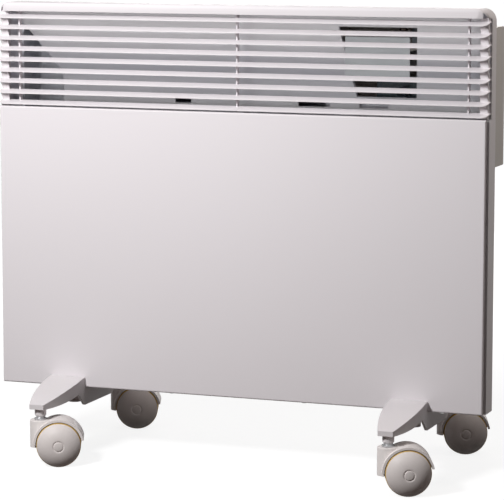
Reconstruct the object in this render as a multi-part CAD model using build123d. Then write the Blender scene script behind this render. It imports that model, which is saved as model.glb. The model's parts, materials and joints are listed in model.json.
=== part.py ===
from build123d import *
import os
from math import cos, radians, sin

# A wall panel convector heater, standing on two castor feet.
# Millimetres, +Z up, the front faces -Y and +X is on the right of someone facing it.
# The origin is on the floor, under the middle of the whole footprint.
# Casing pieces are drawn in the casing's own frame: y from the front face backwards, z from the
# casing's bottom. Feet are drawn about their own middle, and each castor about its stem.

# ---- Fits ----
SEAT = 0.2                # play where one rigid piece seats in another
SNUG = 0.05               # play round a pin or rod that doesn't move
RUNNING = 0.06            # radial play of a shaft that turns in its hole
OVER = 1.0                # how far a cutter reaches past the face that it opens

# ---- Casing ----
CASE_W = 580.0            # over the two side walls
CASE_H = 440.0            # bottom edge to the top rail
SHELL_DEPTH = 32.0        # front face to the rear edge of the side walls
BODY_DEPTH = 74.0         # front face to the back of the rear pan
SHEET = 1.0               # painted steel sheet

# ---- Front panel ----
PANEL_H = 321.5
PANEL_INSET = 2.0         # how far its edges stay inside the side walls
PANEL_HEM = 3.0           # depth of the folded edge
PANEL_EDGE_R = 2.2
GROOVE = 4.0              # width of the shadow gap between the panel's edge and the side wall
GROOVE_DEPTH = 6.0        # how far the shadow gap goes in from the side wall
PANEL_SCREWS = 4
PANEL_SCREW_INSET = 50.0  # side wall to the outer screws

# ---- Rear pan ----
PAN_INSET = 18.0          # left side wall to the pan's side
CORD_CHANNEL = 36.0       # right side wall to the pan's side; the cord hangs down beside the pan
PAN_RIM = 8.0             # flange that laps over the back of the casing
PAN_DROP = 22.0           # casing top to the pan's top
PAN_CORNER_R = 10.0
PAN_EDGE_R = 5.0
CORD_ROOM = 60.0          # free height under the control box
BOX_MARGIN = 10.0         # control box to the pan beside it
PAN_SCREW_INSET = 36.0    # pan's corners to the nearest rim screws
PAN_SCREW_L = 4.0
SLOT_SPACING_X = 380.0    # hanging slots for a wall bracket
SLOT_SPACING_Z = 110.0
SLOT_LOW_Z = 70.0
SLOT_W = 8.0
SLOT_LENGTH = 22.0

# ---- Air inlet ----
INLET_W = 336.0
INLET_LAP = 6.0           # how far the grid laps over the opening's edge
INLET_FRONT = 18.0
INLET_BACK = 12.0         # back of the pan to the opening
INLET_SLOT_W = 4.0
INLET_SLOT_PITCH = 12.0
INLET_BAR = 4.0           # bar between the two rows of slots

# ---- Outlet grille ----
FRAME_T = 2.0
RAIL_H = 10.4
RAIL_EDGE_R = 4.0
GRILLE_CORNER_R = 14.0
STRIP_GAP = 1.0           # end of the corner's curve to the side strip's front edge
LOUVRE_PITCH = 12.1
LOUVRE_FIRST = 5.7        # middle of the lowest louvre above the front panel's top
LOUVRE_RISE = 5.5
LOUVRE_T = 1.3
LOUVRE_DEPTH = 14.0
POST_R = 12.5
POST_T = 2.2
POST_SWEEP = 75.0         # how much of a quarter turn the end post fills, in degrees
RIB_T = 1.6
RIB_FRONT = 7.0
RIB_INSET = 22.0          # side wall to the outer ribs

# ---- Heat shield behind the grille ----
SHIELD_GAP = 4.0          # shield to the casing's back flange
SHIELD_T = 0.8
SHIELD_LAP = 81.5         # how far it goes down behind the front panel
SHIELD_DROP = 12.0        # casing top to the shield's top
CUT_LOW_INSET = 70.5      # side wall to the shield's left edge, below its slanted cut
CUT_TOP_INSET = 28.0      # side wall to the upper end of the slanted cut
CUT_LOW_DROP = 68.0       # shield's top to the two ends of the cut
CUT_TOP_DROP = 21.0
WINDOW_LEFT = 4.6         # opening towards the control box, from the box's left side
WINDOW_SLANT = 21.4       # how far its left edge leans in at the bottom
WINDOW_RIGHT = 94.4
WINDOW_LOW = 78.0         # its lower edge, down from the box's lid
WINDOW_TOP = 1.5
SHIELD_SLOTS = ((-81.0, -62.0), (66.0, 103.0), (137.0, 169.5))
SHIELD_SLOT_RISE = 7.3    # panel's top to the small slots
SHIELD_SLOT_H = 5.5
BRACKET_LEFT = 13.0       # small plate across the opening, from the box's left side
BRACKET_W = 74.0
BRACKET_LOW = 59.0        # its lower edge, down from the box's lid
BRACKET_H = 47.0
BRACKET_STANDOFF = 1.6
BRACKET_LEG = 11.0
BRACKET_ARM_H = 17.0

# ---- Heating element ----
ELEMENT_ROOM = 44.0       # pan's right side to the element's end
ELEMENT_Z = 78.0
ELEMENT_R = 25.0
ELEMENT_CORE_R = 8.0
FIN_COUNT = 10
FIN_T = 1.8
ROD_R = 4.2
ROD_PROUD = 24.0
TERMINAL_R = 2.1
TERMINAL_L = 10.0
INSULATOR_R = 7.5
INSULATOR_NECK_R = 6.0
INSULATOR_L = 13.0
HOLDER_T = 1.2
HOLDER_H = 44.0
HOLDER_FOOT = 12.0

# ---- Safety cut-out and air sensor ----
CUTOUT_X = 40.0
CUTOUT_RISE = 22.0        # above the shield's lower edge
CUTOUT_R = 8.0
CUTOUT_H = 7.0
CUTOUT_CAP_R = 6.0
CUTOUT_CAP_H = 5.0
BLADE_SPACING = 8.0
BLADE_L = 8.0
BLADE_W = 6.0
BLADE_T = 0.8
SENSOR_INSET = 30.0       # pan's side to the sensor
SENSOR_Z = 26.0
SENSOR_R = 2.5
SENSOR_L = 21.0
CLIP_W = 16.0
CLIP_H = 10.0
CLIP_T = 4.0

# ---- Control box ----
BOX_W = 182.0             # from the right side wall inwards
BOX_H = 151.0
BOX_DROP = 21.0           # casing top to the box's lid
BOX_DEPTH = 38.0
BOX_WALL = 2.0
BOX_CORNER_R = 4.0
BOX_BULGE = 1.0
BOX_BULGE_H = 17.0
KNOB_INSET = 36.0         # side wall to the knob's middle
KNOB_R = 13.5
KNOB_H = 12.0
KNOB_GAP = 0.6
KNOB_CROWN = 3.0          # what is left of the knob over the shaft's end
KNOB_EDGE_R = 1.2
KNOB_BAND = 2.0           # plain band under the flutes
FLUTES = 16
FLUTE_R = 1.3
RIDGE_W = 2.0
RIDGE_H = 0.8
SHAFT_R = 3.0
SHAFT_IN = 12.0           # how far the shaft goes down under the lid
SHAFT_HOLE_PLAY = 1.0     # the lid stays clear of the shaft
THERMOSTAT_W = 28.0
THERMOSTAT_D = 22.0
THERMOSTAT_H = 20.0
ROCKER_INSET = 84.0
ROCKER_L = 19.0
ROCKER_W = 12.0
ROCKER_TILT = 8.0
ROCKER_PLAY = 0.5
ROCKER_PIVOT = 4.0        # pivot below the lid's top
KEY_END = 6.5             # the key's ends above its pivot
KEY_DIP = 1.6
KEY_SKIRT = 4.0
KEY_KEEL = 8.0
KEY_TAPER = 3.0
PIVOT_R = 1.2
SWITCH_ROOM = 2.0         # free room at both ends of the key
SWITCH_WALL = 2.4
SWITCH_H = 22.0
SWITCH_ROOM_H = 14.0
LENS_INSET = 110.0
LENS_R = 3.5
LENS_PROUD = 1.2
LENS_IN = 4.0
LENS_SHOULDER = 1.2
LENS_DOME = 1.0

# ---- Inside the control box ----
BOARD_L = 104.0
BOARD_H = 62.0
BOARD_T = 1.6
BOARD_GAP = 8.0
BOARD_DROP = 12.0         # board's middle below the box's middle
STANDOFF_R = 3.0
STANDOFF_INSET = 6.0
RELAY = (28.0, 13.0, 16.0)      # width, depth, height
RELAY_PLACE = (-26.0, -10.0)    # its middle from the board's middle
SUPPLY = (28.0, 15.0, 24.0)
SUPPLY_PLACE = (20.0, -8.0)
CAPACITOR_R = 6.0
CAPACITOR_L = 12.0
CAPACITOR_PLACE = (-20.0, 14.0)
GLAND_INSET = 24.0
GLAND_BORE_R = 4.0
GLAND_NECK_R = 7.0
GLAND_R = 9.0
GLAND_L = 14.0
GLAND_FLANGE = 4.0
GLAND_NUT_R = 8.0
GLAND_NUT_H = 2.0
TERMINAL_GAP = 44.0       # gland to the terminal block
TERMINAL_W = 34.0
TERMINAL_D = 14.0
TERMINAL_H = 15.0
TERMINAL_PITCH = 11.0
TERMINAL_HOLE_R = 2.6
TERMINAL_FLOOR = 5.0

# ---- Fasteners ----
SCREW_R = 2.0
SCREW_L = 5.0
SCREW_HEAD_R = 3.8
SCREW_HEAD_H = 2.2
FOOT_SCREW_R = 2.5
FOOT_SCREW_HEAD_R = 4.8
FOOT_SCREW_HEAD_H = 4.0
FOOT_SCREW_IN = 8.0       # how far it reaches into the casing
FOOT_SCREW_Y = 20.0       # foot's middle to the screws
FOOT_SCREW_DEEP = 8.0     # counterbore up from the keel

# ---- Feet ----
FOOT_INSET = 85.0         # side wall to the foot's middle
FOOT_HALF_L = 124.0
FOOT_HALF_W = 21.3
TIP_HALF_W = 8.6
TIP_H = 5.7
TIP_DROP = 6.1            # casing's bottom to the tip's top
ARM_RISE = 11.8           # casing's bottom to where the arm meets the casing's face
ARM_BOW = 1.4
ARCH_DROP = 5.6           # casing's bottom to the top of the arch under the arm
ARCH_BOW = 1.6
ARCH_Y = 55.6             # where the arch under the arm is highest
KEEL_H = 20.6
KEEL_Y = 39.0
KEEL_R = 4.0
FOOT_WALL = 3.0
FOOT_CEILING = 4.0        # thickness over the hollow underside
HOLLOW_Y = 88.0           # how far the hollow reaches along the arms
BOSS_R = 8.0              # round the screws up into the casing
SHOULDER_Y = 55.0         # where the arm reaches its full width
SHOULDER_HOLLOW = 0.28    # how far the plan's curve falls in, as a share of the widening
CLAMP_T = 2.0
CLAMP_W = 34.0
CLAMP_H = 44.0
CLAMP_CORNER_R = 4.0
CLAMP_SCREW_X = 9.0
CLAMP_SCREW_DROP = 10.0
CLAMP_SCREW_L = 4.0
FOOTPRINT_SHIFT = 8.0     # the castors trail, so the feet sit this far forward of the origin

# ---- Castors ----
STEM_Y = 113.0            # foot's middle to the castor's stem
WHEEL_R = 25.0
TRAIL = 20.5
WEB_HALF = 6.3            # half the hood's middle web
WEB_DROP = 5.0            # wheel's edge to the edge of the web between the wheels
WHEEL_GAP = 0.7           # web to wheel
TREAD_W = 10.5
TREAD_EDGE_R = 0.8
DOME_H = 10.0
DOME_MID_R = 18.0         # a point on the dome, out from the axle
DOME_MID_H = 6.1          # and up from its edge
HUB_R = 5.8
HUB_GROOVE = 0.9
HUB_STEP = 0.4
AXLE_R = 3.0
AXLE_IN = 10.0            # how far the axle goes into each wheel
HOOD_GAP = 1.0            # wheel tread to the hood's underside
HOOD_T = 2.4
HOOD_END = 10.0           # where the hood ends above the axle's level, in degrees
HOUSING_R = 12.0
HOUSING_LOW = 20.5
HOUSING_RISE = 1.4        # top of the wheels to the top of the stem's housing
HOUSING_EDGE_R = 1.0
BRIDGE_DROP = 6.0         # housing's top to the top of the bridge towards the axle
STEM_R = 5.0
STEM_FLOOR = 26.0         # bottom of the stem's blind hole
COLLAR_R = 7.0
COLLAR_H = 1.6
NECK_H = 5.2              # housing's top to the sleeve
CONE_R = 5.9
CONE_H = 2.4
SOCKET_R = 6.5
SOCKET_SHANK_R = 5.5
SOCKET_PROUD = 7.6
SOCKET_IN = 5.0           # how far the sleeve's shank goes up into the foot
SOCKET_CAP = 0.8          # what closes the sleeve over the stem
SWIVEL = {"front_left": 23.0, "rear_left": 20.5, "front_right": 22.5, "rear_right": 19.0}

# ---- Worked out from the sizes above ----
HOUSING_TOP = 2 * WHEEL_R + HOUSING_RISE
SOCKET_LOW = HOUSING_TOP + NECK_H
TIP_LOW = SOCKET_LOW + SOCKET_PROUD
TIP_TOP = TIP_LOW + TIP_H
FLOOR_GAP = TIP_TOP + TIP_DROP
ARM_TOP = FLOOR_GAP + ARM_RISE
ARCH_TOP = FLOOR_GAP - ARCH_DROP
KEEL_LOW = FLOOR_GAP - KEEL_H
SOCKET_TOP = TIP_LOW + SOCKET_IN
STEM_TOP = SOCKET_TOP - SOCKET_CAP
HALF_W = CASE_W / 2
FOOT_X = HALF_W - FOOT_INSET
FOOT_Y = -FOOTPRINT_SHIFT
SADDLE = (BODY_DEPTH + CLAMP_T) / 2
FRONT_Y = FOOT_Y - SADDLE
LIP_Y = PANEL_HEM + GROOVE
PANEL_HALF = HALF_W - PANEL_INSET
FLANGE_HALF = HALF_W - GROOVE_DEPTH
BACK_FACE = SHELL_DEPTH - SHEET
SHIELD_Y = BACK_FACE - SHIELD_GAP
SHIELD_REAR = SHIELD_Y + SHIELD_T
SHIELD_LOW = PANEL_H - SHIELD_LAP
SHIELD_TOP = CASE_H - SHIELD_DROP
PAN_LEFT = -HALF_W + PAN_INSET
PAN_RIGHT = HALF_W - CORD_CHANNEL
PAN_TOP = CASE_H - PAN_DROP
RIM_FRONT = SHELL_DEPTH + SEAT
RIM_REAR = RIM_FRONT + SHEET
PAN_BACK = BODY_DEPTH - SHEET
BOX_LEFT = HALF_W - BOX_W
BOX_TOP = CASE_H - BOX_DROP
BOX_LOW = BOX_TOP - BOX_H
BOX_REAR = SHELL_DEPTH + BOX_DEPTH
BOX_MID_Y = SHELL_DEPTH + BOX_DEPTH / 2
LID_LOW = BOX_TOP - BOX_WALL
NOTCH_X = BOX_LEFT - BOX_MARGIN
NOTCH_Z = BOX_LOW - CORD_ROOM
INLET_REAR = BODY_DEPTH - INLET_BACK
GRID_FRONT = INLET_FRONT - INLET_LAP
RAIL_LOW = CASE_H - RAIL_H
LOUVRE_ROOM = RAIL_LOW - PANEL_H - LOUVRE_FIRST - LOUVRE_RISE / 2
LOUVRE_COUNT = int(LOUVRE_ROOM / LOUVRE_PITCH) + 1
ELEMENT_L = 2 * (PAN_RIGHT - ELEMENT_ROOM)
ELEMENT_Y = BODY_DEPTH / 2
HOLDER_X = ELEMENT_L / 2 + SEAT
KNOB_X = HALF_W - KNOB_INSET
ROCKER_X = HALF_W - ROCKER_INSET
LENS_X = HALF_W - LENS_INSET
GLAND_X = HALF_W - GLAND_INSET
BOARD_X = (BOX_LEFT + HALF_W) / 2
BOARD_Z = (BOX_LOW + BOX_TOP) / 2 - BOARD_DROP
BOARD_REAR = BOX_REAR - BOX_WALL - BOARD_GAP
WHEEL_IN = WEB_HALF + WHEEL_GAP
WHEEL_RIM = WHEEL_IN + TREAD_W
WHEEL_FACE = WHEEL_RIM + DOME_H
AXLE_HALF = WHEEL_IN + AXLE_IN
HOOD_IN_R = WHEEL_R + HOOD_GAP
HOOD_R = HOOD_IN_R + HOOD_T
UP = (0, 0, 1)
STEPS = "parts"


def block(x0, x1, y0, y1, z0, z1):
    """A plain block between two corners."""
    size = (x1 - x0, y1 - y0, z1 - z0)
    return Pos(x0, y0, z0) * Box(*size, align=(Align.MIN, Align.MIN, Align.MIN))


def mirrored_span(side, near, far):
    """Two distances from the middle, on the left or the right, as rising X values."""
    return sorted((side * near, side * far))


def across(outline, y0, y1):
    """An outline drawn in X and Z, carried from y0 back to y1."""
    return Pos(0, y1, 0) * Plane.XZ.location * extrude(outline, y1 - y0, dir=UP)


def along(outline, x0, x1):
    """An outline drawn in Y and Z, carried from x0 to x1."""
    return Pos(x0, 0, 0) * Plane.YZ.location * extrude(outline, x1 - x0, dir=UP)


def upright(x, y, z0, z1, radius):
    """A round bar or hole along Z."""
    return Pos(x, y, z0) * Cylinder(radius, z1 - z0, align=(Align.CENTER, Align.CENTER, Align.MIN))


def deep(x, z, y0, y1, radius):
    """A round bar or hole along Y."""
    return across(Pos(x, z) * Circle(radius), y0, y1)


def crosswise(y, z, x0, x1, radius):
    """A round bar or hole along X."""
    return along(Pos(y, z) * Circle(radius), x0, x1)


def front_edges(shape):
    return shape.edges().group_by(Axis.Y)[0]


def rear_edges(shape):
    return shape.edges().group_by(Axis.Y)[-1]


def nearest(outline, corner):
    """The vertex of a flat outline that lies on this corner."""
    return outline.vertices().sort_by_distance((*corner, 0))[0]


def screw_upward(x, y, z, radius, length, head_r, head_h):
    """Pan head screw driven up, its head resting under z."""
    head = upright(x, y, z - head_h, z, head_r)
    head = chamfer(head.edges().group_by(Axis.Z)[0], head_h / 2)
    return head + upright(x, y, z, z + length, radius)


def screw_forward(x, z, y, length):
    """Pan head screw driven towards the front, its head resting behind y."""
    head = deep(x, z, y, y + SCREW_HEAD_H, SCREW_HEAD_R)
    head = chamfer(rear_edges(head), SCREW_HEAD_H / 2)
    return head + deep(x, z, y - length, y, SCREW_R)


# ---- Casing pieces ----

def panel_screw_places():
    """The screws up through the casing's bottom flange into the panel's."""
    reach = HALF_W - PANEL_SCREW_INSET
    step = 2 * reach / (PANEL_SCREWS - 1)
    y = (LIP_Y + GRID_FRONT) / 2
    return [(-reach + i * step, y) for i in range(PANEL_SCREWS)]


def foot_screw_places():
    return [(x, SADDLE + y) for x in (-FOOT_X, FOOT_X) for y in (-FOOT_SCREW_Y, FOOT_SCREW_Y)]


def pan_screw_places():
    """Along the middle of the pan's rim: three at the left, two at the right and two at the top."""
    half_rim, inset = PAN_RIM / 2, PAN_SCREW_INSET
    left, right, top = PAN_LEFT - half_rim, PAN_RIGHT + half_rim, PAN_TOP + half_rim
    places = [(left, z) for z in (inset, PAN_TOP / 2, PAN_TOP - inset)]
    places += [(right, z) for z in (inset, NOTCH_Z - inset)]
    return places + [(x, top) for x in (PAN_LEFT + inset, NOTCH_X - inset)]


def clamp_screw_places():
    """Through the foot clamps into the pan's back."""
    z = CLAMP_H - CLAMP_SCREW_DROP
    return [(x + offset, z) for x in (-FOOT_X, FOOT_X) for offset in (-CLAMP_SCREW_X, CLAMP_SCREW_X)]


def front_panel():
    """Pressed face with a folded hem, and inner flanges that close the shadow gap."""
    tray = fillet(front_edges(block(-PANEL_HALF, PANEL_HALF, 0, PANEL_HEM, 0, PANEL_H)), PANEL_EDGE_R)
    inner = PANEL_HALF - SHEET
    room = block(-inner, inner, SHEET, PANEL_HEM + OVER, SHEET, PANEL_H - SHEET)
    tray -= fillet(front_edges(room), PANEL_EDGE_R - SHEET)
    root = SHEET / 2
    for side in (-1, 1):
        edges = mirrored_span(side, FLANGE_HALF - SHEET, FLANGE_HALF)
        tray += block(*edges, root, SHIELD_Y - SHEET, SHEET, PANEL_H - SHEET)
    tray += block(-FLANGE_HALF, FLANGE_HALF, root, GRID_FRONT - SEAT, SHEET, 2 * SHEET)
    tray += block(-FLANGE_HALF, FLANGE_HALF, root, PANEL_HEM, PANEL_H - SHEET, PANEL_H)
    for x, y in panel_screw_places():
        tray -= upright(x, y, 0, 2 * SHEET + OVER, SCREW_R)
    return tray


def pan_outline(inset):
    """The rear pan seen from the back, with the corner that the control box takes left out."""
    right, left = PAN_RIGHT - inset, PAN_LEFT + inset
    low, top = inset, PAN_TOP - inset
    notch_x, notch_z = NOTCH_X - inset, NOTCH_Z - inset
    outline = make_face(Polyline(
        (left, low), (right, low), (right, notch_z), (notch_x, notch_z), (notch_x, top), (left, top),
        close=True
    ))
    outline = fillet(nearest(outline, (notch_x, notch_z)), PAN_CORNER_R + inset)
    corners = [nearest(outline, corner) for corner in ((right, notch_z), (notch_x, top), (left, top))]
    return fillet(corners, PAN_CORNER_R - inset)


def hanging_slots():
    cutters = []
    for x in (-SLOT_SPACING_X / 2, SLOT_SPACING_X / 2):
        for z in (SLOT_LOW_Z, SLOT_LOW_Z + SLOT_SPACING_Z):
            slot = Pos(x, z) * SlotOverall(SLOT_LENGTH, SLOT_W)
            cutters.append(across(slot, PAN_BACK - OVER, BODY_DEPTH + OVER))
    return cutters


def casing_shell():
    """Side walls, bottom and the flat flange that closes the back around the pan."""
    shell = block(-HALF_W, HALF_W, LIP_Y, SHELL_DEPTH, 0, PANEL_H)
    upper_half = HALF_W - FRAME_T - SEAT
    flange = block(-upper_half, upper_half, BACK_FACE, SHELL_DEPTH, 0, CASE_H - FRAME_T - SEAT)
    corners = flange.edges().filter_by(Axis.Y).group_by(Axis.Z)[-1]
    return shell + fillet(corners, GRILLE_CORNER_R - FRAME_T)


def inlet_opening():
    half = INLET_W / 2
    return block(-half, half, INLET_FRONT, INLET_REAR, -OVER, SHEET + OVER)


def rear_casing():
    """Side walls, bottom and back flange in one folded sheet, open behind the element."""
    casing = casing_shell()
    inner = HALF_W - SHEET
    casing -= block(-inner, inner, LIP_Y + SHEET, BACK_FACE, SHEET, PANEL_H + OVER)
    casing -= block(-FLANGE_HALF, FLANGE_HALF, LIP_Y - OVER, LIP_Y + SHEET + OVER, SHEET, PANEL_H + OVER)
    casing -= across(pan_outline(SHEET), BACK_FACE - OVER, SHELL_DEPTH + OVER)
    casing -= across(window_outline(), BACK_FACE - OVER, SHELL_DEPTH + OVER)
    casing -= inlet_opening()
    for x, y in panel_screw_places():
        casing -= upright(x, y, -OVER, SHEET + OVER, SCREW_R)
    for x, y in foot_screw_places():
        casing -= upright(x, y, -OVER, SHEET + OVER, FOOT_SCREW_R)
    for x, z in pan_screw_places():
        casing -= deep(x, z, BACK_FACE - OVER, SHELL_DEPTH + OVER, SCREW_R)
    return casing


def rear_pan():
    """Deep pan behind the element, with a rim that laps over the casing's back flange."""
    pan = fillet(rear_edges(across(pan_outline(0), RIM_FRONT, BODY_DEPTH)), PAN_EDGE_R)
    rim = across(pan_outline(-PAN_RIM), RIM_FRONT, RIM_REAR)
    pan += rim - block(-HALF_W, HALF_W, RIM_FRONT, RIM_REAR, -PAN_RIM, 0)
    hollow = across(pan_outline(SHEET), RIM_FRONT - OVER, PAN_BACK)
    pan -= fillet(rear_edges(hollow), PAN_EDGE_R - SHEET)
    pan -= inlet_opening()
    for cutter in hanging_slots():
        pan -= cutter
    for x, y in foot_screw_places():
        pan -= upright(x, y, -OVER, SHEET + OVER, FOOT_SCREW_R)
    for x, z in pan_screw_places():
        pan -= deep(x, z, RIM_FRONT - OVER, RIM_REAR + OVER, SCREW_R)
    for x, z in clamp_screw_places():
        pan -= deep(x, z, PAN_BACK - OVER, BODY_DEPTH + OVER, SCREW_R)
    return pan


def air_inlet_grid():
    """Slotted plate over the opening in the bottom."""
    half = INLET_W / 2 + INLET_LAP
    plate = block(-half, half, GRID_FRONT, INLET_REAR + INLET_LAP, SHEET, 2 * SHEET)
    middle = (INLET_FRONT + INLET_REAR) / 2
    row = (INLET_REAR - INLET_FRONT - INLET_BAR) / 2
    count = int(INLET_W / INLET_SLOT_PITCH)
    first = -(count - 1) / 2 * INLET_SLOT_PITCH
    slots = []
    for i in range(count):
        x = first + i * INLET_SLOT_PITCH
        for y in (middle - (row + INLET_BAR) / 2, middle + (row + INLET_BAR) / 2):
            edges = (x - INLET_SLOT_W / 2, x + INLET_SLOT_W / 2, y - row / 2, y + row / 2)
            slots.append(block(*edges, SHEET - OVER, 2 * SHEET + OVER))
    return plate - slots


# ---- Outlet grille ----

def grille_envelope():
    """The grille's outer form: round top corners, and ends that curve back."""
    form = block(-HALF_W, HALF_W, 0, SHELL_DEPTH, PANEL_H, CASE_H)
    ends = form.edges().filter_by(Axis.Z).group_by(Axis.Y)[0]
    tops = form.edges().filter_by(Axis.Y).group_by(Axis.Z)[-1]
    form = fillet(ends + tops, GRILLE_CORNER_R)
    rail_edge = form.edges().filter_by(Axis.X).group_by(Axis.Y)[0].sort_by(Axis.Z)[-1]
    return fillet(rail_edge, RAIL_EDGE_R)


def grille_frame():
    """Hood over the outlet: the top rail and the two side strips."""
    form = grille_envelope()
    outlet_h = CASE_H - PANEL_H
    room = Pos(0, PANEL_H + outlet_h / 2 - FRAME_T) * Rectangle(CASE_W - 2 * FRAME_T, outlet_h)
    room = fillet(room.vertices().group_by(Axis.Y)[-1], GRILLE_CORNER_R - FRAME_T)
    frame = form - across(room, FRAME_T, SHELL_DEPTH + OVER)
    strip_front = GRILLE_CORNER_R + STRIP_GAP
    return frame - block(-HALF_W - OVER, HALF_W + OVER, -OVER, strip_front, PANEL_H - OVER, RAIL_LOW)


def louvre_plan():
    """Seen from above: a straight front with both ends curved back to the side strips."""
    rear = Pos(0, LOUVRE_DEPTH / 2) * Rectangle(CASE_W - 2 * SEAT, LOUVRE_DEPTH)
    return fillet(rear.vertices().group_by(Axis.Y)[0], min(GRILLE_CORNER_R - SEAT, LOUVRE_DEPTH - SEAT))


def louvre(z):
    """One slat: it leans back and upwards, and its ends follow the rounded plan."""
    low, high = z - LOUVRE_RISE / 2, z + LOUVRE_RISE / 2
    section = make_face(Polyline(
        (0, low), (LOUVRE_DEPTH, high - LOUVRE_T), (LOUVRE_DEPTH, high), (0, low + LOUVRE_T), close=True
    ))
    slat = along(section, -HALF_W, HALF_W)
    plan = Pos(0, 0, low - OVER) * extrude(louvre_plan(), LOUVRE_RISE + 2 * OVER, dir=UP)
    return slat & plan


def end_post(side):
    """Curved upright that the slats' ends run into."""
    sector = Circle(POST_R) - Circle(POST_R - POST_T)
    reach = 2 * POST_R
    sweep = radians(POST_SWEEP)
    wedge = make_face(Polyline(
        (0, 0), (reach, 0), (reach, -reach), (reach * cos(sweep), -reach * sin(sweep)), close=True
    ))
    centre = Pos(HALF_W - GRILLE_CORNER_R - SEAT, GRILLE_CORNER_R + STRIP_GAP - SEAT)
    height = RAIL_LOW - PANEL_H - 2 * SEAT
    post = Pos(0, 0, PANEL_H + SEAT) * extrude(centre * (sector & wedge), height, dir=UP)
    return post if side > 0 else mirror(post, Plane.YZ)


def outlet_louvres():
    """The slats, three upright ribs behind them and the two end posts, one moulding."""
    grille = end_post(-1) + end_post(1)
    rib_x = HALF_W - RIB_INSET
    for x in (-rib_x, 0, rib_x):
        edges = (x - RIB_T / 2, x + RIB_T / 2, RIB_FRONT, LOUVRE_DEPTH - SEAT)
        grille += block(*edges, PANEL_H + SEAT, RAIL_LOW)
    for k in range(LOUVRE_COUNT):
        grille += louvre(PANEL_H + LOUVRE_FIRST + k * LOUVRE_PITCH)
    return grille


# ---- Behind the grille ----

def window_outline():
    """Opening from the outlet channel into the control box, with a slanted left edge."""
    low, top = BOX_TOP - WINDOW_LOW, BOX_TOP - WINDOW_TOP
    left, right = BOX_LEFT + WINDOW_LEFT, BOX_LEFT + WINDOW_RIGHT
    corners = ((left + WINDOW_SLANT, low), (right, low), (right, top), (left, top))
    return make_face(Polyline(*corners, close=True))


def heat_shield():
    """Bright sheet that turns the warm air out through the grille."""
    right, left = FLANGE_HALF, -FLANGE_HALF + GROOVE
    cut_low, cut_top = -HALF_W + CUT_LOW_INSET, -HALF_W + CUT_TOP_INSET
    outline = make_face(Polyline(
        (cut_low, SHIELD_LOW), (right, SHIELD_LOW), (right, SHIELD_TOP), (left, SHIELD_TOP),
        (cut_top, SHIELD_TOP - CUT_TOP_DROP), (cut_low, SHIELD_TOP - CUT_LOW_DROP), close=True
    ))
    shield = across(outline, SHIELD_Y, SHIELD_REAR)
    shield += block(left, right, SHIELD_REAR, BACK_FACE, SHIELD_TOP - SHIELD_T, SHIELD_TOP)
    shield += block(right - SHIELD_T, right, SHIELD_REAR, BACK_FACE, SHIELD_LOW, SHIELD_TOP)
    cut_edge = (cut_low, cut_low + SHIELD_T, SHIELD_REAR, BACK_FACE)
    shield += block(*cut_edge, SHIELD_LOW, SHIELD_TOP - CUT_LOW_DROP)
    shield -= across(window_outline(), SHIELD_Y - OVER, SHIELD_REAR + OVER)
    slot_low = PANEL_H + SHIELD_SLOT_RISE
    for slot_left, slot_right in SHIELD_SLOTS:
        edges = (slot_left, slot_right, SHIELD_Y - OVER, SHIELD_REAR + OVER)
        shield -= block(*edges, slot_low, slot_low + SHIELD_SLOT_H)
    return shield


def control_bracket():
    """Small plate across the opening, with a leg to the shield and an arm back into the box."""
    front = SHIELD_Y - BRACKET_STANDOFF - SHIELD_T
    left, right = BOX_LEFT + BRACKET_LEFT, BOX_LEFT + BRACKET_LEFT + BRACKET_W
    low = BOX_TOP - BRACKET_LOW
    plate = block(left, right, front, front + SHIELD_T, low, low + BRACKET_H)
    plate += block(left, left + SHIELD_T, front, SHIELD_Y, low, low + BRACKET_LEG)
    arm_low = low + BRACKET_H / 2 - BRACKET_ARM_H / 2
    return plate + block(right - SHIELD_T, right, front, BOX_MID_Y, arm_low, arm_low + BRACKET_ARM_H)


# ---- Heating element ----

def heating_element():
    """Extruded aluminium star around the sheathed rod."""
    star = Circle(ELEMENT_CORE_R)
    for i in range(FIN_COUNT):
        fin = Pos(ELEMENT_R / 2, 0) * Rectangle(ELEMENT_R, FIN_T)
        star += Rot(0, 0, (i + 0.5) * 360 / FIN_COUNT) * fin
    star -= Circle(ROD_R + SNUG)
    return along(Pos(ELEMENT_Y, ELEMENT_Z) * star, -ELEMENT_L / 2, ELEMENT_L / 2)


def element_rod():
    """Sheathed heating rod with a terminal pin at each end."""
    half = ELEMENT_L / 2 + ROD_PROUD
    rod = crosswise(ELEMENT_Y, ELEMENT_Z, -half, half, ROD_R)
    for side in (-1, 1):
        rod += crosswise(ELEMENT_Y, ELEMENT_Z, *mirrored_span(side, half, half + TERMINAL_L), TERMINAL_R)
    return rod


def element_insulator(side):
    """Ceramic bush on the rod's end, with its neck in the holder."""
    start = HOLDER_X + HOLDER_T + SEAT
    bush = crosswise(ELEMENT_Y, ELEMENT_Z, *mirrored_span(side, start, start + INSULATOR_L), INSULATOR_R)
    bush += crosswise(ELEMENT_Y, ELEMENT_Z, *mirrored_span(side, HOLDER_X, start), INSULATOR_NECK_R)
    return bush - crosswise(ELEMENT_Y, ELEMENT_Z, -HALF_W, HALF_W, ROD_R + SNUG)


def element_holder(side):
    """Steel plate that carries one end of the element on the back of the pan."""
    low, high = ELEMENT_Z - HOLDER_H / 2, ELEMENT_Z + HOLDER_H / 2
    front = ELEMENT_Y - HOLDER_H / 2
    plate = block(*mirrored_span(side, HOLDER_X, HOLDER_X + HOLDER_T), front, PAN_BACK, low, high)
    tab = mirrored_span(side, HOLDER_X, HOLDER_X + HOLDER_FOOT)
    plate += block(*tab, PAN_BACK - HOLDER_T, PAN_BACK, low, high)
    return plate - crosswise(ELEMENT_Y, ELEMENT_Z, -HALF_W, HALF_W, INSULATOR_NECK_R + SNUG)


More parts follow.
